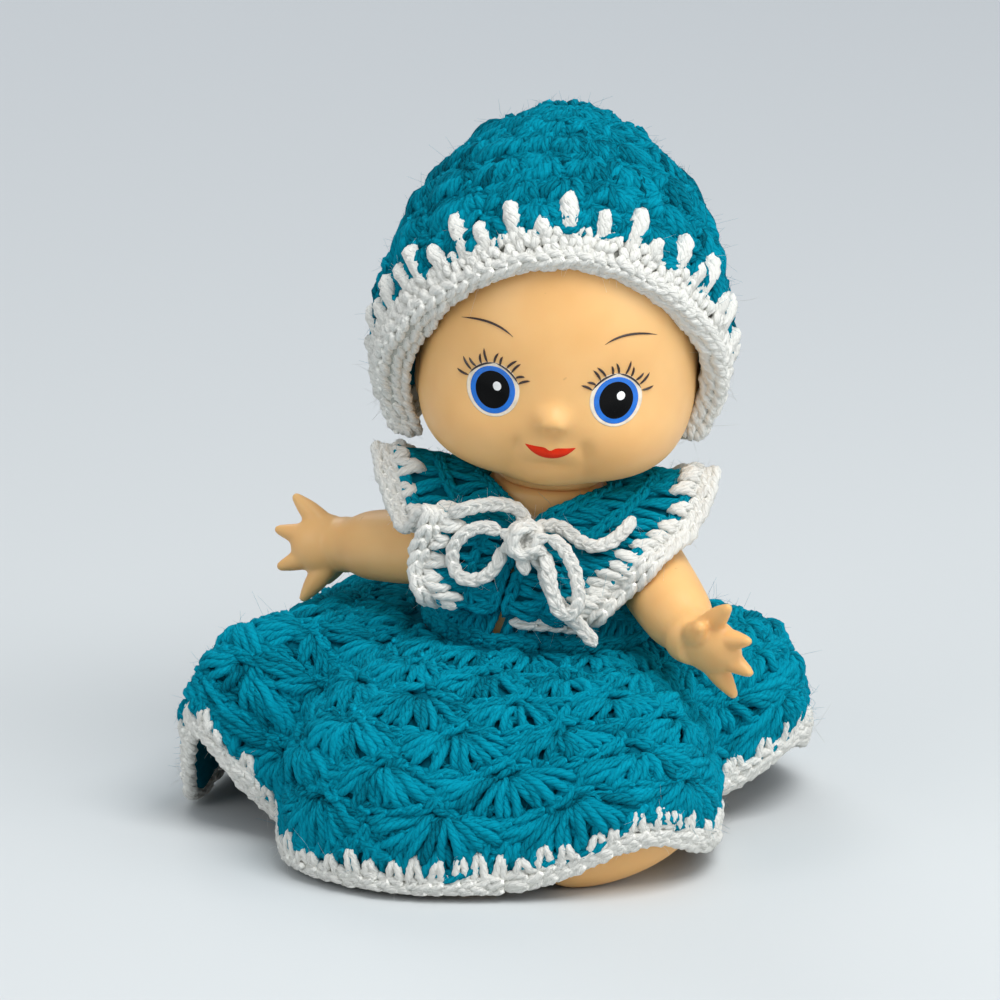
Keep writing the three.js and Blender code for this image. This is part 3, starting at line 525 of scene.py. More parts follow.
# Head
# Vinyl too, one hollow egg with full cheeks, a button nose and shallow dimples; the neck below turns
# in the body. Eyes, lashes, brows and lips are sprayed and printed paint of next to no thickness.
head_centre, head_half_width, head_half_depth, chin_drop, crown_rise = 118.0, 34.6, 34.0, 30.0, 49.0
jaw_square, crown_square = 2 / 2.5, 2 / 2.1
neck_profile = np.array([
    # radius, height
    [12.0, 94], [12.6, 92], [12.9, 89.4], [13.2, 88], [13.1, 87], [12.6, 86.4], [11.5, 86.35],
])
ear_half_size, ear_at = (1.6, 4.6, 7.4), (34, 2, 112)
eye_middle, eye_height, eye_radius = 15.2, 116.5, 6.5
face_aside = -1.2
face_relief = [
    # sideways place, height, how far out, how wide, how tall
    [21, 101.5, 3.2, 12, 11], [-21, 101.5, 3.2, 12, 11], [0, 93, 1.8, 8, 6], [0, 111, 3.0, 3.6, 3.0],
    [2.1, 109.8, 0.7, 1.5, 1.4], [-2.1, 109.8, 0.7, 1.5, 1.4], [1.4, 108.9, -0.7, 0.7, 0.6],
    [-1.4, 108.9, -0.7, 0.7, 0.6], [0, 102, 1.3, 6.6, 2.2], [0, 105.8, -0.6, 1.6, 1.8],
    [8.4, 102.6, -1.1, 1.8, 2.6], [-8.4, 102.6, -1.1, 1.8, 2.6], [9.4, 97, -0.8, 2.2, 4.4],
    [-9.4, 97, -0.8, 2.2, 4.4], [0, 98.4, -0.7, 4.4, 1.2], [15.2, 116.5, -1.2, 8, 7.6],
    [-15.2, 116.5, -1.2, 8, 7.6],
]


def head_at(turn, rise):
    """An egg with squarish shoulders: half sizes times sine and cosine, with bell-shaped hills and
    hollows of the face pushed out along the ray from its middle."""
    out = np.sin(rise * np.pi)
    up = -np.cos(rise * np.pi)
    square = np.where(up < 0, jaw_square, crown_square)
    x = head_half_width * np.abs(out) ** square * np.sin(np.radians(turn))
    y = -head_half_depth * np.abs(out) ** square * np.cos(np.radians(turn))
    x, y, up, square = np.broadcast_arrays(x, y, up, square)
    z = head_centre + power(up, square) * np.where(up < 0, chin_drop, crown_rise)
    push = np.zeros_like(x)
    for sideways, level, far, wide, tall in face_relief:
        push = push + np.where(y < 0, far * bell(x - sideways - face_aside, wide) * bell(z - level, tall), 0)
    ray = unit(np.stack([x, y, (z - head_centre) * 0.5], -1))
    return np.stack([x, y, z], -1) + ray * push[..., None]


def face_at(x, z, raised=0.0):
    """The face's skin straight behind a place seen from the front: the egg's turn and rise are
    guessed and then corrected six times by what is still missing."""
    x = np.array(x, float) + face_aside
    aim_x, aim_z = x.copy(), np.array(z, float)
    for _ in range(6):
        share = (aim_z - head_centre) / np.where(aim_z < head_centre, chin_drop, crown_rise)
        square = np.where(aim_z < head_centre, jaw_square, crown_square)
        up = np.clip(power(share, 1 / square), -0.999, 0.999)
        rise = np.arccos(-up) / np.pi
        wide = head_half_width * np.sin(rise * np.pi) ** square
        turn = np.degrees(np.arcsin(np.clip(aim_x / wide, -0.999, 0.999)))
        found = head_at(turn, rise)
        aim_x = aim_x + x - found[..., 0]
        aim_z = aim_z + z - found[..., 2]
    step = 0.01
    round_way = head_at(turn + 1, rise) - head_at(turn - 1, rise)
    up_way = head_at(turn, rise + step) - head_at(turn, rise - step)
    normal = unit(np.cross(round_way, up_way))
    return found + normal * np.asarray(raised)[..., None], normal


def egg(half_sizes, place, rows=24, columns=32):
    """A rounded form at a place: half sizes times the sine and cosine round and down, from the top."""
    down = np.linspace(0.02, 0.98, rows)[:, None] * np.pi
    turn = np.arange(columns) / columns * 2 * np.pi
    x, y, z = np.broadcast_arrays(
        np.sin(down) * np.cos(turn) * half_sizes[0], np.sin(down) * np.sin(turn) * half_sizes[1],
        np.cos(down) * half_sizes[2],
    )
    return np.stack([x, y, z], -1) + place


even = np.arange(230) / 230 * 2 * np.pi
head_turns = np.degrees(even - 0.5 * np.sin(even))
head_rings = head_at(head_turns, np.linspace(0.995, 0.005, 160)[:, None])
neck_turn = np.arange(72) / 72 * 2 * np.pi
neck_rings = np.stack(np.broadcast_arrays(
    neck_profile[:, :1] * np.sin(neck_turn), -neck_profile[:, :1] * np.cos(neck_turn), neck_profile[:, 1:]
), -1)
shapes = [closed_rings(leaned(head_rings)), closed_rings(leaned(neck_rings))]
for side in (-1, 1):
    shapes.append(closed_rings(leaned(egg(ear_half_size, np.multiply(ear_at, [side, 1, 1])))))
head_skin = make_piece("head_skin", *joined_shapes(shapes), vinyl)
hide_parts("head")
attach(head_skin, "head")


def paint_finish(name, colour, roughness=0.16, gloss=0.5):
    """Glossy paint with a faintly uneven coat."""
    finish = Finish(name, Coat_Weight=0.5 * gloss, Coat_Roughness=0.1, Specular_IOR_Level=gloss)
    cloud = finish.noise(finish.node("ShaderNodeTexCoord", {}, {}, 3), 420.0, 2.0)
    darker = tuple(np.array(colour) * 0.9)
    finish.set(Base_Color=cloud.within(0.35, 0.75).mixed(linear(colour), linear(darker)))
    finish.set(Roughness=roughness + cloud * 0.12)
    return finish.material


def painted_spots(name, material, aside, up, wide, tall, raised):
    """A round or oval spot of paint on each eye, aside and up from its middle: a disc of rings about
    that place on the face, domed by 0.12 mm and with an edge that dips into the skin."""
    shapes = []
    share = np.array([0.04, 0.3, 0.55, 0.75, 0.88, 0.96, 1.0, 1.0])[:, None]
    lift = raised + np.array([0.12, 0.11, 0.09, 0.06, 0.04, 0.02, 0.0, -0.5])[:, None]
    turn = np.arange(56) / 56 * 2 * np.pi
    for side in (-1, 1):
        x = side * eye_middle + aside + share * wide * np.cos(turn)
        z = eye_height + up + share * tall * np.sin(turn)
        shapes.append(closed_rings(leaned(face_at(x, z, lift)[0][:, ::-1])))
    made = make_piece(name, *joined_shapes(shapes), material)
    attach(made, "head")
    return made


white_paint = paint_finish("eye_white_paint", (240, 226, 205))
painted_spots("eye_whites", white_paint, 0, 0, eye_radius, eye_radius * 1.04, raised=0.06)
painted_spots("eye_irises", paint_finish("eye_blue_paint", (10, 112, 214)), 0, -0.1, 5.5, 5.9, raised=0.14)
black_paint = paint_finish("eye_black_paint", (2, 2, 3), roughness=0.2, gloss=0.12)
painted_spots("eye_pupils", black_paint, 0, -0.1, 4.2, 4.7, raised=0.22)
painted_spots("eye_glints", paint_finish("eye_glint_paint", (252, 252, 250)), 1.0, 0.9, 1.1, 1.2, raised=0.30)


def painted_strokes(name, material, strokes):
    """Fine brush strokes: flat strands that follow a bent line over the face, thin at both ends.
    A stroke is its start, the point it bends towards, its end and its half width."""
    skein = Skein()
    share = np.linspace(0, 1, 14)
    for start, bend, end, half_width in strokes:
        start, bend, end = (np.array(p, float) for p in (start, bend, end))
        line = np.outer((1 - share) ** 2, start) + np.outer(2 * share * (1 - share), bend)
        line = line + np.outer(share**2, end)
        centre, normal = face_at(line[:, 0], line[:, 1], 0.05)
        width = half_width * (0.25 + 0.75 * np.sin(np.pi * np.clip(share, 0.02, 0.98)) ** 0.6)
        skein.lay(leaned(centre)[None], leaned(normal)[None], width, sides=8, ply=0.0, blunt=0.3)
    made = skein.piece(name, material)
    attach(made, "head")
    return made


# Beside each eye a brow, eleven lashes that bend up or down in turn, and the lid's line in two strokes
brow, brow_width = np.array([[11.4, 130.6], [16.5, 134.4], [24.2, 132.0]]), 0.3
lash_turns, lash_width, lash_bow = np.radians(np.linspace(18, 158, 11)), 0.32, 0.45
lid_half_size, lid_width, lid_bulge = np.array([eye_radius, 6.7]), 0.28, np.array([[1], [1.08], [1]])


def ways(angle):
    """The arrow of length one at an angle, or at each of several: its cosine and its sine."""
    return np.stack([np.cos(angle), np.sin(angle)], -1)


strokes = []
for side in (-1, 1):
    eye_at = np.array([side * eye_middle, eye_height])
    strokes.append((*(brow * [side, 1]), brow_width))
    for k, lash_turn in enumerate(lash_turns):
        root_turn = lash_turn if side > 0 else np.pi - lash_turn
        tip_turn = root_turn + (0.32 if k % 2 else -0.05) * side
        root = eye_at + eye_radius * ways(root_turn)
        tip = root + (3.0 + 0.7 * np.sin(k * 1.9)) * ways(tip_turn)
        bend = (root + tip) / 2 + lash_bow * ways(tip_turn - np.pi / 2) * side
        strokes.append((root, bend, tip, lash_width))
    for start, end in ((0.12, 0.5), (0.5, 0.88)):
        arc = np.pi * np.array([start, (start + end) / 2, end])
        strokes.append((*(eye_at + lid_half_size * ways(arc) * lid_bulge), lid_width))
painted_strokes("brows_and_lashes", paint_finish("fine_line_paint", (42, 24, 20), roughness=0.4), strokes)

# The smile: two edges that meet at the raised corners, the upper one with a dip in its middle
lip_half, lip_height, corner_rise, lip_depth = 6.3, 102.5, 1.3, 0.6
share = np.linspace(-1, 1, 41)
corners = lip_height + corner_rise * np.abs(share) ** 2.2
upper = corners + 1.0 * (1 - share**2) ** 0.8 - 0.75 * bell(share, 0.16)
lower = corners - 1.9 * (1 - share**2) ** 0.9 - 0.02
rows = np.linspace(0, 1, 9)[:, None]
lip_x, lip_z = np.broadcast_arrays(lip_half * share, upper * (1 - rows) + lower * rows)
lip_lift = 0.03 + 0.16 * np.sin(np.pi * rows) * np.cos(share * np.pi / 2) ** 0.5
lip_rings = np.concatenate([face_at(lip_x, lip_z, lip_lift)[0], face_at(lip_x, lip_z, -lip_depth)[0][::-1]])
lip_paint = paint_finish("lip_paint", (218, 44, 6), roughness=0.35, gloss=0.15)
lips = make_piece("lips", *closed_rings(leaned(np.moveaxis(lip_rings, 0, 1))), lip_paint)
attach(lips, "head")

# Arms
# Chubby vinyl arms that turn at the shoulder, bent at the elbow, with a crease round the wrist and a
# small hand of rounded, spread fingers. Each is one moulding.
arm_bend, arm_stand_off, arm_length, hand_tilt = np.radians(57), 3.6, 53.0, 72.0
palm_half_size, finger_length, finger_radius = (5.2, 7.8, 8.6), 12.6, 2.6
arm_swing = {"left": 72.0, "right": -73.0}
both_sides = {"left": 1, "right": -1}


def spun(points, axis, angle):
    """Points turned about an axis by degrees: the other two axes mix by the cosine and the sine."""
    first, second = ((1, 2), (2, 0), (0, 1))["xyz".index(axis)]
    turned = np.array(points, float)
    c, s = np.cos(np.radians(angle)), np.sin(np.radians(angle))
    turned[..., first] = points[..., first] * c - points[..., second] * s
    turned[..., second] = points[..., first] * s + points[..., second] * c
    return turned


def swept(stations, side, columns=40, steps=60):
    """A round body about a smooth line through stations of centre and radius; side is square to it."""
    stations = np.array(stations, float)
    share = np.linspace(0, 1, steps)
    centre = smooth_line(stations[:, :3], share)
    places = np.stack([np.arange(len(stations)), stations[:, 3]], -1)
    radius = smooth_line(places, share)[:, 1]
    ahead = unit(np.gradient(centre, axis=0))
    across = unit(np.cross(np.array(side, float), ahead))
    up = np.cross(ahead, across)
    angle = np.arange(columns) / columns * 2 * np.pi
    ring = np.cos(angle)[:, None] * across[:, None] + np.sin(angle)[:, None] * up[:, None]
    return (centre[:, None] + radius[:, None, None] * ring)[:, ::-1]


def round_end(stations):
    """Stations with two more past the last, 0.54 and 0.9 of its radius on, so that a body ends in a dome."""
    last, before = np.array(stations[-1]), np.array(stations[-2])
    ahead = unit(last[:3] - before[:3]) * last[3]
    dome = [[*(last[:3] + ahead * far), last[3] * thick] for far, thick in ((0.54, 0.75), (0.9, 0.2))]
    return [*stations, *dome]


def along_arm(distance):
    """A place on the arm's middle line: the distance times the bend's cosine out and its sine down."""
    return [np.cos(arm_bend) * distance + arm_stand_off, 0, -np.sin(arm_bend) * distance]


def limb(name, side, forms, swing, root, turn_in, voxel, smoothing):
    """A limb that rides on its own body. Its forms are mirrored for the right side, swung about X, put
    out and forward at the root, turned in about Z and lifted; then they are melted into one skin."""
    shapes = []
    for form in forms:
        placed = (form * [side, 1, 1])[:, ::side]
        placed = spun(placed, "x", -swing) + [side * root[0], root[1], 0]
        placed = spun(placed, "z", -side * turn_in) + [0, 0, root[2]]
        shapes.append(closed_rings(leaned(placed)))
    skin = make_piece(f"{name}_skin", *joined_shapes(shapes), vinyl)
    melt = skin.modifiers.new("one_skin", "REMESH")
    melt.mode = "VOXEL"
    melt.voxel_size = voxel * 0.001
    melt.use_smooth_shade = True
    soften = skin.modifiers.new("soften", "SMOOTH")
    soften.factor = 0.5
    soften.iterations = smoothing
    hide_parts(name)
    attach(skin, name)


wrist = arm_length * 0.6
arm_forms = [swept([
    [0.3, 0, 0, 8.8], [3.6, 0, 0, 9.1], [*along_arm(12), 9.5], [*along_arm(25), 8.74],
    [*along_arm(wrist), 7.0], [*along_arm(wrist + 3), 7.1], [*along_arm(wrist + 7), 5.6],
], (0, 1, 0))]
hand_forms = [egg(palm_half_size, (0, 0, -palm_half_size[2] * 0.55))]
knuckles = -palm_half_size[2] * 0.7
for spread in (-54, -20, 12, 44):
    finger = swept(round_end([
        [0, 0, knuckles * 0.4, finger_radius * 1.15], [0, 0, knuckles - 1, finger_radius * 1.2],
        [-0.4, 0, knuckles - finger_length * 0.5, finger_radius * 1.0],
        [-0.9, 0, knuckles - finger_length * 0.86, finger_radius * 0.5],
    ]), (0, 1, 0))
    hand_forms.append(spun(finger, "x", spread))
hand_forms.append(swept(round_end([
    [-2, -2, 0, finger_radius * 1.2], [-4.4, -6, -3, finger_radius * 1.1],
    [-5.4, -8.6, -4.6, finger_radius * 0.75],
]), (1, 0, 0)))
hand_at = np.array(along_arm(wrist + 3.6))
arm_forms += [spun(form, "y", -hand_tilt) + hand_at for form in hand_forms]
for label, side in both_sides.items():
    limb(
        f"arm_{label}", side, arm_forms, arm_swing[label], (shoulder_flat, 0, shoulder_height),
        turn_in=np.degrees(shoulder_turn_in), voxel=0.55, smoothing=8,
    )

# Legs
# Short vinyl legs that swing at the hip, bowed, with plump feet whose soles look forwards.
leg_reach, foot_inset, foot_half_size = 54.5, 5.0, (19.5, 6.2, 8.6)
leg_lift = {"left": 0.2, "right": -1.6}
leg_form = swept([
    [0.3, 0, 0, 14.6], [4, 0, 0, 14.6], [10, -7, 0, 14], [13, -18, 0, 13.44], [13, -30, -1, 11.6],
    [11, -42, -3, 11], [foot_inset + 2, 4 - leg_reach, -5, 8.6], [foot_inset, -leg_reach, -5.4, 7.74],
], (0, 0, 1), columns=56, steps=90)
foot_form = egg(foot_half_size, (2.5, 0, 0), rows=40, columns=56)
for axis, angle in (("y", -24), ("x", 22), ("z", 22)):
    foot_form = spun(foot_form, axis, angle)
leg_forms = [leg_form, foot_form + [foot_inset, -leg_reach - 6.6, -6.4]]
for label, side in both_sides.items():
    limb(
        f"leg_{label}", side, leg_forms, leg_lift[label], (hip_flat, -hip_forward, hip_height),
        turn_in=0, voxel=0.8, smoothing=6,
    )

# Skirt
# A full circle of shell stitches in thick teal yarn. From each small hole a fan of long stitches
# spreads towards the hem, its top closed by a chain; the next round's fans start in the valleys.
skirt_reach, skirt_shift, hem_radius, yarn_gap, round_power = 77.0, -5.0, 2.3, 0.3, 0.8
skirt_folds = [
    # direction from the front, width, how far it lifts the hem, carries it out and puffs the cloth
    [-77, 12, 24, 4, 6], [-60, 11, 0, -13, -1], [-88, 8, -9, 1, 0], [-120, 16, 1, -3, 0],
    [-150, 18, 7, 1, 2], [-22, 20, 0, 4, 1], [26, 17, 12.5, 6, 1], [52, 10, 1, -6, -5],
    [68, 12, 4, -19, -3], [86, 12, 15, -1, 2], [104, 12, 7, 2, 4], [140, 16, 0, -9, -2],
    [178, 17, 6, -4, 1],
]
skirt_fans, fan_width, hem_stitches = 15, 1.14, 132
skirt_rounds = [
    # stitches in a fan, yarn radius, swelling, loose fibres
    [6, 0.95, 0.7, 434], [8, 1.05, 1.2, 682], [9, 1.1, 1.7, 930],
    [10, 1.15, 1.9, 1178], [11, 1.2, 2.0, 1364], [12, 1.2, 2.0, 1426],
]
skirt_starts = np.linspace(0.02, 0.97, len(skirt_rounds) + 1)


def skirt_at(around, fall):
    """From the waist out to a wavy hem: x and y mix by sin^0.8 of the fall's quarter turn, height by
    cos^0.8, and each fold adds its bell round its direction."""
    turn = np.asarray(around) * 360
    fall = np.clip(fall, 0, 1)
    lift, reach, puff = 2 * hem_radius + 2 * yarn_gap, skirt_reach, 0.0
    for at, width, rises, carries, swells in skirt_folds:
        here = bell((turn - at + 540) % 360 - 180, width)
        lift, reach, puff = lift + rises * here, reach + carries * here, puff + swells * here
    waist = leaned(torso_at(waist_height, turn, 1.0))
    out = np.sin(fall * np.pi / 2) ** round_power
    drop = np.maximum(np.cos(fall * np.pi / 2), 0) ** round_power
    x = waist[..., 0] * (1 - out) + (skirt_shift + reach * np.sin(np.radians(turn))) * out
    y = waist[..., 1] * (1 - out) - reach * np.cos(np.radians(turn)) * out
    z = lift * (1 - drop) + (waist[..., 2] - yarn_gap) * drop + puff * np.sin(fall * np.pi)
    return np.stack(np.broadcast_arrays(x, y, z), -1)


def raised(surface, u, v, height, step=0.006):
    """A place that stands off a cloth: its point plus the height times the normal, which is the cross
    product of the cloth's slopes down and round."""
    u, v, height = np.broadcast_arrays(u, v, height)
    low = np.clip(v, step, 1 - step)
    round_way = surface(u + step, low) - surface(u - step, low)
    down_way = surface(u, low + step) - surface(u, low - step)
    return surface(u, v) + unit(np.cross(down_way, round_way)) * height[..., None]


def skirt_over(u, v, height):
    """A place over the skirt."""
    return raised(skirt_at, u, v, height)


def sheet_piece(name, over, columns, rows, outer, inner, material, joined=True, relief=0.0):
    """A backing cloth between two heights over one surface, closed at its edges. Its wrong side has
    ridges: the height adds relief times the sines of the ways round and down."""
    across = columns if joined else columns + 1
    u = np.linspace(0, 1, columns + 1)[:across]
    v = np.linspace(0, 1, rows + 1)[:, None]
    ridge = relief * np.sin(u * columns * np.pi / 1.5) * np.sin(v * rows * np.pi / 2.0)
    outer_side = over(u, v, outer)
    inner_side = over(u, v, inner + ridge)
    loop = np.concatenate([outer_side, inner_side[::-1]])
    count = 2 * (rows + 1)
    j, i = np.mgrid[0:count, 0:columns]
    after, beside = (j + 1) % count, (i + 1) % across
    quads = np.stack([j * across + i, after * across + i, after * across + beside, j * across + beside], -1)
    faces = [quads.reshape(-1, 4)]
    if not joined:
        for column, order in ((0, 1), (columns, -1)):
            k = np.arange(rows)
            end = np.stack([k, count - 1 - k, count - 2 - k, k + 1], -1)[:, ::order]
            faces.append(end * across + column)
    return make_piece(name, loop.reshape(-1, 3), [np.concatenate(faces)], material)


def post_pair(skein, over, u, v, height, radius, gap, tint=0.0):
    """Long stitches: two strands wound about each other by 1.1 half turns. They stand off the stitch's
    middle line by the gap times the cosine across it and 0.7 times the sine out of the cloth."""
    centre = wandered(over(u, v, height), 0.35)
    out = unit(over(u, v, height + 1.0) - over(u, v, height))
    ahead = unit(np.gradient(centre, axis=-2))
    across = unit(np.cross(out, ahead))
    stations = centre.shape[-2]
    phase = draw.uniform(0, 2 * np.pi, (*centre.shape[:-2], 1)) + 1.1 * np.pi * np.linspace(0, 1, stations)
    for half in (0, np.pi):
        swing = (gap * np.cos(phase + half))[..., None] * across
        rise = (0.7 * gap * np.sin(phase + half))[..., None] * out
        size = np.broadcast_to(radius, centre.shape[:-1]) * draw.uniform(0.88, 1.14, (*centre.shape[:-2], 1))
        skein.lay(centre + swing + rise, out, size.reshape(-1, stations), sides=6, tint=tint)


def shell_round(skein, over, fans, posts, span, shift, radius, sink, bulge, stations=13, shade=0.0):
    """A round of fans over a span of the way down. A stitch leaves the fan's hole at angle a and ends
    half the fan's width times sin a to the side and cos^0.6 a of the span down, swelling out of the
    cloth between; a loose chain closes the top. Fans are a little uneven, as worked by hand."""
    share = np.linspace(0, 1, stations)
    start, tall = span[0], span[1] - span[0]
    widest = np.radians(84)
    angle = np.linspace(-widest, widest, posts)[:, None] + draw.normal(0, 0.05, (fans, posts, 1))
    middle = ((np.arange(fans) + shift + draw.normal(0, 0.05, fans)) / fans)[:, None, None]
    grown = 1 + draw.normal(0, 0.07, (fans, 1, 1))
    reach = np.abs(np.cos(angle)) ** 0.6 * grown * (1 + draw.normal(0, 0.05, (fans, posts, 1)))
    aside = 0.5 * fan_width * grown / fans
    u = middle + aside * np.sin(angle) * share**0.75
    v = start + tall * (0.03 + reach * share * 1.06)
    arch = np.abs(np.cos(angle)) ** 0.5 * np.sin(np.pi * share**0.8)
    uneven = draw.normal(0, 0.28, (fans, posts, 1)) * np.sin(np.pi * share)
    height = sink + bulge * arch + uneven - 1.7 * (1 - share) ** 4
    size = radius * (0.6 + 0.4 * np.sin(np.pi * (0.12 + 0.5 * share)))
    # Painted shade: each stitch is darker at its foot in the fan's hole and slightly darker at its tip under
    # the closing chain; shade moves a whole round darker or lighter.
    tint = shade - 0.55 * (1 - share) ** 5 - 0.12 * share**6 + draw.normal(0, 0.1, (fans, posts, 1))
    post_pair(skein, over, u, v, height, size, 0.8 * size, tint.reshape(-1, stations))
    arc = np.linspace(-widest, widest, 40)
    for fan in range(fans):
        top_u = middle[fan, 0] + 1.03 * aside[fan, 0] * np.sin(arc)
        top_v = start + tall * (0.04 + 1.05 * np.abs(np.cos(arc)) ** 0.6 * grown[fan, 0])
        dip = 0.25 * np.sin(arc * 7 + draw.uniform(0, 6))
        line = wandered(over(top_u, top_v, sink + 0.35 + dip), 0.45)
        up = over(top_u, top_v, sink + 2.0) - over(top_u, top_v, sink)
        chain(skein, line, up, 3.6 * radius, 0.9 * radius, 0.7 * radius, tint=shade, loose=0.28)


teal_yarn = yarn_finish("teal_yarn", (5, 162, 190), (1, 58, 72))
# The backing cloths under the stitches use a darker copy of the teal yarn: painted shade in the gaps between
# stitches, with rare brown flecks.
painted_shade_teal = yarn_finish("teal_backing_painted_shade", (3, 112, 134), (1, 58, 72), (96, 76, 52))

skirt_cloth = sheet_piece("skirt_cloth", skirt_over, 180, 40, -1.9, -3.3, painted_shade_teal, relief=0.25)
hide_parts("skirt")
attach(skirt_cloth, "torso")
for k, (posts, radius, bulge, fibres) in enumerate(skirt_rounds):
    rows_yarn = Skein()
    shell_round(
        rows_yarn, skirt_over, skirt_fans, posts, skirt_starts[k:k + 2], shift=0.5 * (k % 2),
        radius=radius, sink=-1.6, bulge=bulge,
    )
    if k == 0:
        # Two chains of short stitches join the skirt to the bodice
        waist_turn = np.linspace(0, 360, 181)
        for level, margin, thick in ((47.8, 2.4, 1.3), (49.8, 2.9, 1.2)):
            line = wandered(leaned(torso_at(level, waist_turn, margin)), 0.2)
            up = line - leaned(torso_at(level, waist_turn))
            chain(rows_yarn, line, up, pitch=3.4, radius=thick, width=0.9, tint=-0.05)
    rows_yarn.fluff(fibres)
    skirt_row = rows_yarn.piece(f"skirt_shells_{k + 1}", teal_yarn)
    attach(skirt_row, "torso")

# Loops that show in the gaps: short strands at random places and slants, each a half wave high, darkened by
# 0.2 as painted shade beneath the fans
loops, loop_round, loop_down = 1900, 0.011, 0.07
share = np.linspace(0, 1, 6)
u = draw.uniform(0, 1, (loops, 1))
v = draw.uniform(0.04, 0.96, (loops, 1)) ** 0.7
slant = draw.uniform(0, 2 * np.pi, (loops, 1))
u = u + loop_round * np.cos(slant) * (share - 0.5)
v = np.clip(v + loop_down * np.sin(slant) * (share - 0.5), 0.01, 0.99)
height = -1.8 + 0.8 * np.sin(np.pi * share) + draw.normal(0, 0.15, (loops, 1))
line = skirt_over(u, v, height)
under_yarn = Skein()
under_yarn.lay(line, unit(skirt_over(u, v, height + 1.0) - line), radius=1.15, sides=6, tint=-0.2)
skirt_under = under_yarn.piece("skirt_under_loops", teal_yarn)
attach(skirt_under, "torso")

# Round of short stitches that the white edging is worked into
short_yarn = Skein()
u = ((np.arange(hem_stitches) + draw.normal(0, 0.1, hem_stitches)) / hem_stitches)[:, None]
share = np.linspace(0, 1, 8)
height = -1.7 + 0.7 * np.sin(np.pi * share)
post_pair(short_yarn, skirt_over, u, 0.9 + 0.098 * share, height, radius=1.25, gap=0.95)
short_yarn.fluff(930)
skirt_edge = short_yarn.piece("skirt_edge_round", teal_yarn)
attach(skirt_edge, "torso")

# Hem edging
# A white round along the hem: a chain edge and two-legged stitches that reach up into the teal.
hem_spikes, spike_open, spike_splay = 92, 0.07, 0.12
hem_u = np.linspace(0, 1, 720)
hem_out = unit(skirt_over(hem_u, 1.0, 1.0) - skirt_over(hem_u, 1.0, 0.0))
hem_down = unit(skirt_at(hem_u, 1.0) - skirt_at(hem_u, 0.98))
hem_line = skirt_at(hem_u, 1.0) - hem_out * 1.6 + hem_down * (hem_radius + 2 * yarn_gap - 0.3)
hem_yarn = Skein()
chain(hem_yarn, hem_line, hem_out + 0.5 * hem_down, pitch=3.7, radius=1.35, width=1.15, loose=0.2)
# A core strand under the chain, drawn 0.1 darker as painted shade
hem_yarn.lay(hem_line[None, ::2], hem_out[None, ::2], radius=1.5, tint=-0.1)
upper_line = hem_line - hem_down * 2.3 + hem_out * 0.7
chain(hem_yarn, upper_line, hem_out, pitch=3.5, radius=1.15, width=0.95, loose=0.3)
spike_u = ((np.arange(hem_spikes) + draw.normal(0, 0.12, hem_spikes)) / hem_spikes)[:, None]
spike_tall = draw.uniform(0.025, 0.085, hem_spikes)[:, None]
share = np.linspace(0, 1, 10)
for side in (-1, 1):
    splay = (spike_splay + draw.normal(0, 0.05, (hem_spikes, 1))) * share**1.3 * 1.7
    u = spike_u + side * (spike_open + splay) / hem_spikes
    v = 0.999 - spike_tall * (1 - share)
    height = -0.9 + np.sin(np.pi * share**0.8)
    line = skirt_over(u, v, height)
    out = skirt_over(u, v, height + 1.0) - line
    hooked = line + share[:, None] ** 6 * [0, 0, -2.0]
    hem_yarn.lay(wandered(hooked, 0.3), unit(out), radius=1.25 * (0.62 + 0.38 * share))
hem_yarn.fluff(1240)
hem_edging = hem_yarn.piece("skirt_hem_edging", white_yarn)
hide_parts("skirt_hem_trim")
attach(hem_edging, "torso")

# Bodice
# A close tube of long stitches round the chest, open by a narrow slit in front under the tie.
bodice_thick, cloth_gap, armhole_height, slit_half = 2.6, 0.5, 52.0, 2.6
breast_height, back_height, breast_turn, bodice_posts, shortest_post = 72, 74, 22, 62, 8
slit_turn, slit_lean = -21, 0.6


def bodice_at(around, fall):
    """Round the chest from the slit's left edge to its right edge; the slit leans as it rises, and
    the top falls from the breast to the armholes with the cosine's power of 3.5."""
    facing_turn = np.asarray(around) * 360
    facing = np.cos(np.radians(facing_turn - breast_turn))
    highest = np.where(facing > 0, breast_height, back_height)
    top = armhole_height + (highest - armhole_height) * np.abs(facing) ** 3.5
    height = top + (waist_height + yarn_gap - top) * fall
    slit = slit_turn + (np.clip(height, waist_height, breast_height) - waist_height) * slit_lean
    closeness = 1 - np.minimum(facing_turn, 360 - facing_turn) / 180
    turn = slit * closeness + facing_turn * (1 - slit_half * 2 / 360) + slit_half
    return leaned(torso_at(height, turn, cloth_gap + bodice_thick))


def bodice_over(u, v, height):
    """A place over the bodice."""
    return raised(bodice_at, u, v, height)


def chain_rows(skein, over, levels, under, radius, width):
    """Chains round a cloth from edge to edge, each at its level down and a little under the height 0."""
    u = np.linspace(0.01, 0.99, 160)
    for level in levels:
        line = over(u, level, -under)
        chain(skein, line, over(u, level, 1 - under) - line, pitch=3.3, radius=radius, width=width)


bodice_cloth = sheet_piece("bodice_cloth", bodice_over, 120, 12, -1.2, -2.5, painted_shade_teal, joined=False)
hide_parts("bodice")
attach(bodice_cloth, "torso")
bodice_yarn = Skein()
share = np.linspace(0, 1, 10)
height = -1.0 + 0.6 * np.sin(np.pi * share)
u = ((np.arange(bodice_posts) + 0.5) / bodice_posts)[:, None]
tall = np.linalg.norm(bodice_at(u, 0.0) - bodice_at(u, 1.0), axis=-1)[:, 0]
u = u[tall > shortest_post]
for low, high in ((0.0, 0.52), (0.48, 1.0)):
    v = low + (high - low) * share
    post_pair(bodice_yarn, bodice_over, u + 0.003 * share, v, height, radius=0.9, gap=0.75)
chain_rows(bodice_yarn, bodice_over, (0.02, 0.5, 0.97), under=0.5, radius=0.85, width=0.8)
bodice_yarn.fluff(558)
bodice_stitches = bodice_yarn.piece("bodice_stitches", teal_yarn)
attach(bodice_stitches, "torso")

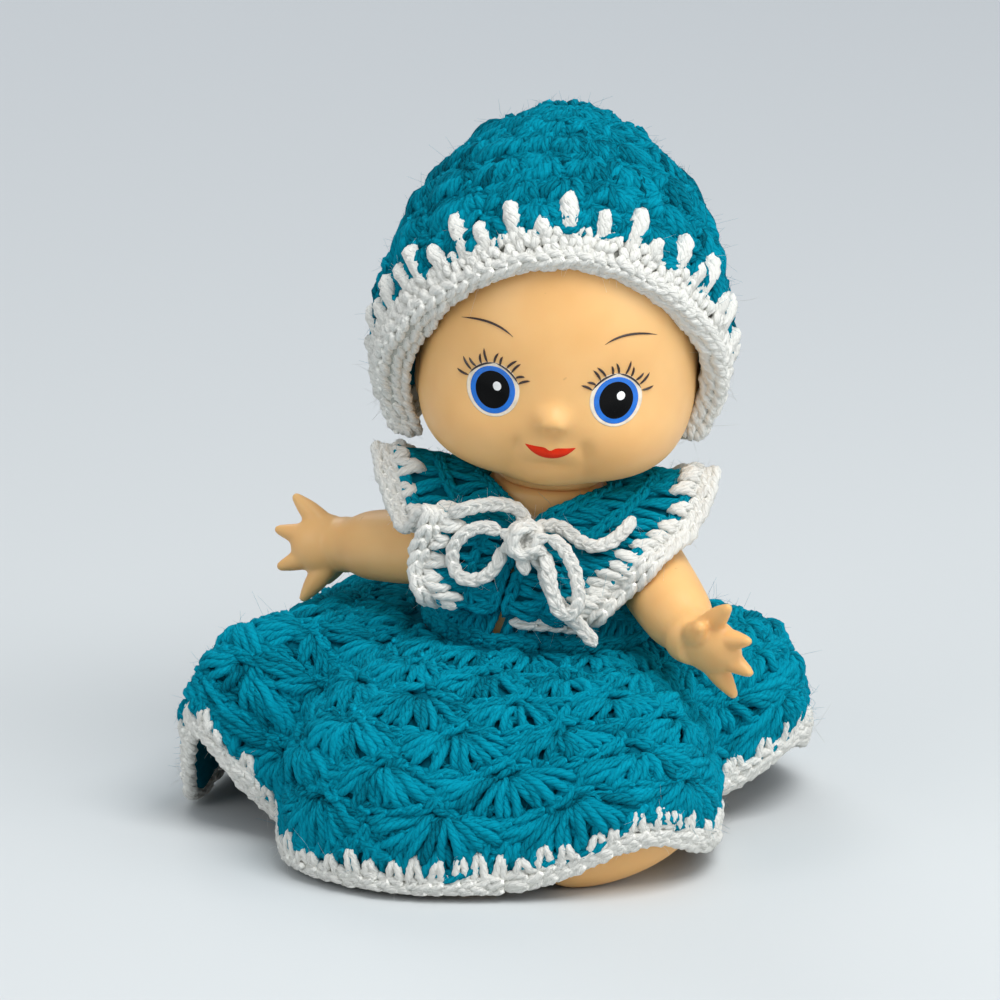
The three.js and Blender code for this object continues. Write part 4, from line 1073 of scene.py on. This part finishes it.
# Collar
# Two wide flounces worked on to the neckline, each from the waist in front over the shoulder to the
# waist behind: two rounds of teal long stitches and a white edging with slanting two-legged stitches.
collar_thick, collar_ruffle, collar_waves, collar_trim_gap, collar_spikes = 2.6, 1.2, 5, 1.0, 30
collar_necks = {
    # turn from the front, share of the way from waist to torso top, how far out from the dress
    "left": [[-15, 0.18, 0], [-10, 0.5, 0], [-6, 0.82, -0.6], [17, 0.98, -2.2], [90, 1.02, -2.8]],
    "right": [[20, 0.18, 0], [15, 0.5, 0], [11, 0.82, -0.6], [36, 0.98, -2.2], [90, 1.02, -2.8]],
}
collar_edges = {
    "left": [[12.5, 0.18, 0.8], [22.7, 0.417, 3.8], [38, 0.667, 7.6], [70, 0.93, 13.6], [90, 1.14, 17]],
    "right": [[39, 0.208, 4.8], [43, 0.472, 8.8], [45.5, 0.889, 11.3], [69, 0.778, 9.8], [90, 1.14, 19.4]],
}


def collar_line(front, behind):
    """The points of the stations in front and, mirrored, of those behind the shoulder."""
    margin = 2 * cloth_gap + bodice_thick + collar_thick
    points = []
    for stations in (front, behind):
        turn, up, out = np.array(stations, float).T
        points.append(torso_at(waist_height + (torso_top - waist_height) * up, turn, margin + out))
    return np.concatenate([points[0], points[1][-2::-1] * [1, -1, 1]])


collar_lines = {
    label: (
        collar_line(collar_necks[label], collar_necks[label]),
        collar_line(collar_edges[label], collar_edges["left"]),
    )
    for label in both_sides
}


def collar_over(label):
    """A place over a flounce: from the neck line across to the edge line by the flare, then out by a
    ruffle of five waves that grows with the flare's square, and by the height."""
    def over(u, flare, height, beyond=0.0):
        u, flare, height, beyond = np.broadcast_arrays(u, flare, height, beyond)
        neck, edge = (smooth_line(line, u) for line in collar_lines[label])
        step = 0.002
        neck_way, edge_way = (
            unit(smooth_line(line, u + step) - smooth_line(line, u - step)) for line in collar_lines[label]
        )
        across = edge - neck
        part = flare + beyond / np.linalg.norm(across, axis=-1)
        within = np.minimum(part, 1)
        out = unit(np.cross(across, neck_way * (1 - within)[..., None] + edge_way * within[..., None]))
        point = neck + across * part[..., None]
        out = out * np.where(np.sum(out * (point - [0, 0, chest_height]), -1) < 0, -1, 1)[..., None]
        wave = collar_ruffle * np.sin(u * 2 * collar_waves * np.pi) * within**2
        point = point + out * (wave + height)[..., None]
        return leaned(point * [both_sides[label], 1, 1])
    return over


for label, side in both_sides.items():
    over = collar_over(label)
    cloth = sheet_piece(f"collar_{label}_cloth", over, 60, 12, -1.5, -2.5, painted_shade_teal, False, relief=0.1)
    if side > 0:
        cloth.data.flip_normals()
    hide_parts(f"collar_{label}")
    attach(cloth, "torso")
    flounce_yarn = Skein()
    share = np.linspace(0, 1, 10)
    height = -1.1 + 0.7 * np.sin(np.pi * share)
    for low, high, posts in ((0.02, 0.5, 30), (0.46, 0.97, 34)):
        u = ((np.arange(posts) + 0.5 + draw.normal(0, 0.08, posts)) / posts)[:, None]
        slant = (0.35 * np.where(np.arange(posts) % 2, 1, -1) / posts)[:, None]
        u = np.clip(u + slant * (share - 0.5), 0.005, 0.995)
        post_pair(flounce_yarn, over, u, low + (high - low) * share, height, radius=0.95, gap=0.8)
    chain_rows(flounce_yarn, over, (0.02, 0.48, 0.95), under=0.6, radius=0.9, width=0.85)
    flounce_yarn.fluff(682)
    flounce = flounce_yarn.piece(f"collar_{label}_stitches", teal_yarn)
    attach(flounce, "torso")

    edging_yarn = Skein()
    edge_u = np.linspace(0.0, 1.0, 260)
    for beyond in (collar_trim_gap + 0.7, collar_trim_gap + 2.9):
        line = over(edge_u, 1.0, -1.2, beyond)
        up = over(edge_u, 1.0, -0.2, beyond) - line
        chain(edging_yarn, line, up, pitch=3.4, radius=1.2, width=1.0, loose=0.2)
    spike_u = ((np.arange(collar_spikes) + 0.5 + draw.normal(0, 0.1, collar_spikes)) / collar_spikes)[:, None]
    tall = draw.uniform(2.6, 7.0, (collar_spikes, 1))
    share = np.linspace(0, 1, 9)
    for leg_side in (-1, 1):
        u = np.clip(spike_u + leg_side * 0.3 / collar_spikes * share, 0.002, 0.998)
        beyond = -tall * (1 - share) + 1.5 * share
        height = draw.normal(-0.2, 0.4, (collar_spikes, 1)) + 0.8 * np.sin(np.pi * share)
        line = over(u, 1.0, height, beyond)
        out = over(u, 1.0, height + 1, beyond) - line
        edging_yarn.lay(wandered(line, 0.45), unit(out), radius=1.2)
    if side > 0:
        # The edging also runs back along the lower end, over the waist
        flare = np.linspace(0.12, 1.1, 60)
        line = over(0.0, flare, -0.9)
        up = over(0.0, flare, 0.1) - line
        chain(edging_yarn, line - [0, 0, 1.0], up, pitch=3.2, radius=0.85, width=0.8)
    edging_yarn.fluff(558)
    edging = edging_yarn.piece(f"collar_{label}_edging", white_yarn)
    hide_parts(f"collar_trim_{label}")
    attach(edging, "torso")

# Bonnet
# An egg-shaped cap of six rounds of teal shell stitches, and a white band of three close rounds with a
# chain edge; long and short white stitches in turn reach from the band up over the teal.
bonnet_half_width, bonnet_widest, bonnet_top, bonnet_edge_height = 44.0, 120.0, 180.6, 96.5
bonnet_front, bonnet_back, arch_top, bonnet_rise = 0.83, 0.96, 151.0, bonnet_top - bonnet_widest
bonnet_aside, edge_tilt, peak_rise, peak_width, straight_span = -2.0, 2.2, 2.4, 9, 30
tuck_least, tuck_more, tuck_turn, tuck_spread = 1.2, 7.5, 72, 34
band_width, bonnet_thick, band_sink, band_stitch, spike_pitch = 7.0, 4.4, 1.2, 3.5, 6.4
crown_gap, cheek_turn, cheek_spread = 0.6, 62, 20
bonnet_rounds = [
    # fans, stitches in a fan, yarn radius, swelling, loose fibres
    [7, 5, 1.0, 0.8, 248], [10, 6, 1.1, 1.2, 558], [14, 8, 1.2, 1.6, 930],
    [14, 9, 1.3, 1.9, 1178], [14, 9, 1.3, 1.9, 1178], [14, 9, 1.3, 1.6, 1054],
]
bonnet_starts = [0.03, 0.17, 0.34, 0.51, 0.68, 0.85, 1.0]


def off_front(turn):
    """How many degrees a turn is away from the front, to either side."""
    return np.abs((np.asarray(turn) + 180) % 360 - 180)


def bonnet_at(turn, angle, depth):
    """An egg: radius by sine and height by cosine down to the widest level, then straight down and a
    little in, more at the cheeks, with a small peak; the front is flatter than the back."""
    upper = np.radians(np.minimum(angle, 90))
    lower = np.maximum(angle - 90, 0) / straight_span
    tuck = tuck_least + tuck_more * bell(off_front(turn) - tuck_turn, tuck_spread)
    radius = (bonnet_half_width - depth) * np.sin(upper) - tuck * lower**2
    above = (bonnet_rise - depth) * np.cos(upper)
    below = (bonnet_widest - bonnet_edge_height) * lower
    facing = np.cos(np.radians(turn))
    share = np.where(facing > 0, bonnet_front, bonnet_back)
    height = bonnet_widest + above - below + peak_rise * bell(radius, peak_width)
    x = bonnet_aside + radius * np.sin(np.radians(turn))
    return np.stack(np.broadcast_arrays(x, -radius * facing * share, height), -1)


def bonnet_angle(height):
    """The angle from the top at which the egg has a height: the arc cosine of the share of the rise,
    and below the widest level 90 degrees and the share of the drop times the straight span."""
    rise = np.clip((height - bonnet_widest) / bonnet_rise, 0, 1)
    drop = (bonnet_widest - height) / (bonnet_widest - bonnet_edge_height)
    return np.where(height > bonnet_widest, np.degrees(np.arccos(rise)), 90 + drop * straight_span)


def bonnet_edge(turn, margin):
    """The edge's height: an arch over the face by the cosine's power of 0.75, and a small tilt."""
    low = bonnet_edge_height + margin + edge_tilt * np.sin(np.radians(turn))
    reach = 90 + np.degrees(1.25 * margin / bonnet_half_width)
    across = np.minimum(off_front(turn) / reach, 1) * 90
    return low + (arch_top - bonnet_edge_height) * np.maximum(np.cos(np.radians(across)), 0) ** 0.75


def crown_over(u, v, height):
    """A place over the crown: round by u, and from the top down to the band by v."""
    turn = np.asarray(u) * 360
    edge = bonnet_angle(bonnet_edge(turn, band_width + crown_gap))
    return leaned(bonnet_at(turn, edge * np.clip(v, 0.004, 1), -np.asarray(height)))


# The band's backing cloth uses a darker copy of the white yarn: painted shade between the stitches.
painted_shade_white = yarn_finish("white_backing_painted_shade", (206, 206, 198), (150, 150, 142))
rings = np.concatenate([
    crown_over(np.arange(110) / 110, np.linspace(0.01, 1, 34)[:, None], -2.0),
    crown_over(np.arange(110) / 110, np.linspace(1, 0.01, 34)[:, None], -bonnet_thick),
])
crown_cloth = make_piece("bonnet_crown_cloth", *closed_rings(rings), painted_shade_teal)
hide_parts("bonnet_crown")
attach(crown_cloth, "bonnet")
# The crown's rounds are drawn 0.12 darker than the skirt's (shade=-0.12): painted shade.
for k, (fans, posts, radius, bulge, fibres) in enumerate(bonnet_rounds):
    rows_yarn = Skein()
    shell_round(
        rows_yarn, crown_over, fans, posts, bonnet_starts[k:k + 2], shift=0.5 * (k % 2),
        radius=radius, sink=-1.5, bulge=bulge, stations=11, shade=-0.12,
    )
    rows_yarn.fluff(fibres)
    crown_row = rows_yarn.piece(f"bonnet_shells_{k + 1}", teal_yarn)
    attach(crown_row, "bonnet")


brim_turn = np.linspace(-180, 180, 1441)
brim_line = bonnet_at(brim_turn, bonnet_angle(bonnet_edge(brim_turn, 0.0)), 0.0)
brim_length = along(brim_line)


def brim_over(walked, inward, height, aside=0.0):
    """A place over the band in millimetres: walked along the edge, then inward square to it and
    aside along it, put back on the egg at the height."""
    walked, inward, height, aside = np.broadcast_arrays(walked, inward, height, aside)
    walked = walked % brim_length[-1]
    def at(s):
        return np.stack([np.interp(s, brim_length, brim_line[:, k]) for k in range(3)], -1)
    edge = at(walked)
    way = unit(at(np.clip(walked + 1.5, 0, brim_length[-1])) - at(np.clip(walked - 1.5, 0, brim_length[-1])))
    radii = np.array([bonnet_half_width, bonnet_half_width, bonnet_rise])
    outwards = unit((edge - [bonnet_aside, 0, bonnet_widest]) / radii**2)
    up = unit(np.cross(outwards, way))
    up = up * np.where(up[..., 2:] < 0, -1, 1)
    point = edge + up * inward[..., None] + way * aside[..., None]
    share = np.where(point[..., 1] < 0, bonnet_front, bonnet_back)
    turn = np.degrees(np.arctan2(point[..., 0] - bonnet_aside, -point[..., 1] / share))
    return leaned(bonnet_at(turn, bonnet_angle(np.maximum(point[..., 2], bonnet_edge_height - 3)), -height))


def turned_in(turn, most):
    """How far the lining reaches in: a bell about each cheek, by its most and the bonnet's way aside."""
    return (most + bonnet_aside * np.sin(np.radians(turn))) * bell(off_front(turn) - cheek_turn, cheek_spread)


def band_over(u, v, height):
    """A place over the band; its lining turns in towards the cheeks by a bell to each side."""
    turn = np.asarray(u) * 360
    lining = np.clip((-height - band_sink) / (bonnet_thick - band_sink), 0, 1)
    edge = bonnet_edge(turn, band_width * (1 - v))
    return leaned(bonnet_at(turn, bonnet_angle(edge), turned_in(turn, 2.0) * v * lining - height))


band_cloth = sheet_piece("bonnet_band_cloth", band_over, 240, 8, -band_sink, -bonnet_thick, painted_shade_white)
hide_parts("bonnet_band")
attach(band_cloth, "bonnet")
band_yarn = Skein()
share = np.linspace(0, 1, 8)
brim_total = brim_length[-1]
count = int(brim_total / band_stitch)
for low, high, offset in ((1.4, 4.2, 0.0), (3.6, 6.6, 0.5), (6.0, 8.8, 0.2)):
    walked = ((np.arange(count) + offset + draw.normal(0, 0.07, count)) * brim_total / count)[:, None]
    for side in (-1, 1):
        swing = side * (0.3 + 1.2 * share**0.7) + draw.normal(0, 0.3, (count, 1))
        inward = low + (high - low) * share + draw.normal(0, 0.3, (count, 1))
        height = -band_sink + 1.1 * np.sin(np.pi * share) + draw.normal(0, 0.35, (count, 1))
        line = brim_over(walked, inward, height, swing)
        out = brim_over(walked, inward, height + 1, swing) - line
        band_yarn.lay(wandered(line, 0.4), unit(out), radius=1.25, sides=6)

# Three chains along the band's edge, from its outside to its lining, where they turn in at the cheeks
walked = np.linspace(0, brim_total, 900)
lining_in = turned_in(np.interp(walked, brim_length, brim_turn), 1.6)
for inward, height in ((1.4, -0.7), (1.2, -2.6 - 0.5 * lining_in), (1.4, -4.0 - lining_in)):
    line = brim_over(walked, inward, height)
    up = unit(brim_over(walked, inward, height + 1.0) - line)
    down = unit(brim_over(walked, 0.0, height) - brim_over(walked, 2.0, height))
    chain(band_yarn, line, up + 0.7 * down, pitch=3.5, radius=1.25, width=1.05, loose=0.2)

# The stitches that reach over the teal: each a loop up and down, laid twice so that it stands full
spikes = int(brim_total / spike_pitch)
share = np.linspace(0, 1, 16)
walked = ((np.arange(spikes) + draw.normal(0, 0.1, spikes)) * brim_total / spikes)[:, None]
tall = np.where(np.arange(spikes) % 2, 7.8, 11.8)[:, None] + draw.normal(0, 0.9, (spikes, 1))
bulk = np.where(np.arange(spikes) % 2, 0.9, 1.0)[:, None]
slant = draw.normal(0, 0.6, (spikes, 1))
climb = np.sin(np.pi * share) ** 0.45
for open_share, lift in ((1.0, 1.1), (0.45, 2.1)):
    inward = 4.6 + tall * climb * (1 - 0.12 * (1 - open_share))
    aside = -1.05 * open_share * bulk * np.cos(np.pi * share) + slant * climb
    height = -0.6 + lift * np.sin(np.pi * share) ** 0.4 - 0.9 * bell(share - 0.5, 0.09)
    line = brim_over(walked, inward, height, aside)
    out = brim_over(walked, inward, height + 1, aside) - line
    band_yarn.lay(wandered(line, 0.25), unit(out), radius=1.65 * bulk, sides=6)
band_yarn.fluff(1426)
band_stitches = band_yarn.piece("bonnet_band_stitches", white_yarn)
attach(band_stitches, "bonnet")

# Floor
# A pale sheet of board that lies flat under the doll and curves up behind it.
floor_half_width, floor_rows, floor_columns = 6000.0, 119, 8
floor_line = [
    # how far behind the doll, height
    [-6000, 0], [-2000, 0], [-600, 0], [600, 0], [2000, 0], [3400, 0], [4200, 120], [4700, 700],
    [4900, 1800], [4950, 3200],
]
floor_curve = smooth_line([[0, y, z] for y, z in floor_line], np.linspace(0, 1, floor_rows + 1))
floor_across = np.linspace(-floor_half_width, floor_half_width, floor_columns + 1)
floor_points = floor_curve[:, None] + floor_across[:, None] * [1, 0, 0]
floor_quads = grid_faces(floor_rows, floor_columns, joined=False)[:, ::-1]
floor_finish = Finish("pale_board", Roughness=0.6, Specular_IOR_Level=0.2)
floor_place = floor_finish.node("ShaderNodeTexCoord", {}, {}, 3)
floor_depth = floor_finish.node("ShaderNodeSeparateXYZ", {}, {0: floor_place}, 1)
floor_tone = floor_depth.within(0.0, 1.0).mixed(linear((207, 211, 212)), linear((207, 211, 214)))
floor_finish.set(Base_Color=floor_tone)
floor = make_piece("floor", floor_points.reshape(-1, 3), [floor_quads], floor_finish.material)

# Light
# A broad soft lamp overhead, weaker ones from each side and behind, and an even pale surround.


def soft_lamp(name, place, aim, size, watts):
    """A square area lamp at a place in metres, turned towards its aim."""
    data = bpy.data.lights.new(name, "AREA")
    data.size = size
    data.energy = watts
    lamp = bpy.data.objects.new(name, data)
    lamp.location = place
    lamp.rotation_mode = "QUATERNION"
    lamp.rotation_quaternion = (Vector(aim) - Vector(place)).to_track_quat("-Z", "Y")
    bpy.context.scene.collection.objects.link(lamp)


soft_lamp("lamp_above", (0.42, -0.5, 1.25), (0, 0, 0.05), 0.8, 14.0)
soft_lamp("lamp_left", (-1.0, -0.8, 0.7), (0, 0, 0.1), 0.7, 3.0)
soft_lamp("lamp_right", (1.1, -0.5, 0.6), (0, 0, 0.1), 0.8, 4.6)
soft_lamp("lamp_behind", (-0.5, 1.5, 1.2), (0, 0.3, 0), 0.9, 6.0)
world = bpy.data.worlds.new("surround")
world.use_nodes = True
surround = world.node_tree.nodes["Background"]
surround.inputs["Color"].default_value = linear((226, 232, 238))
surround.inputs["Strength"].default_value = 0.55
bpy.context.scene.world = world

bpy.context.scene.view_settings.view_transform = "Standard"
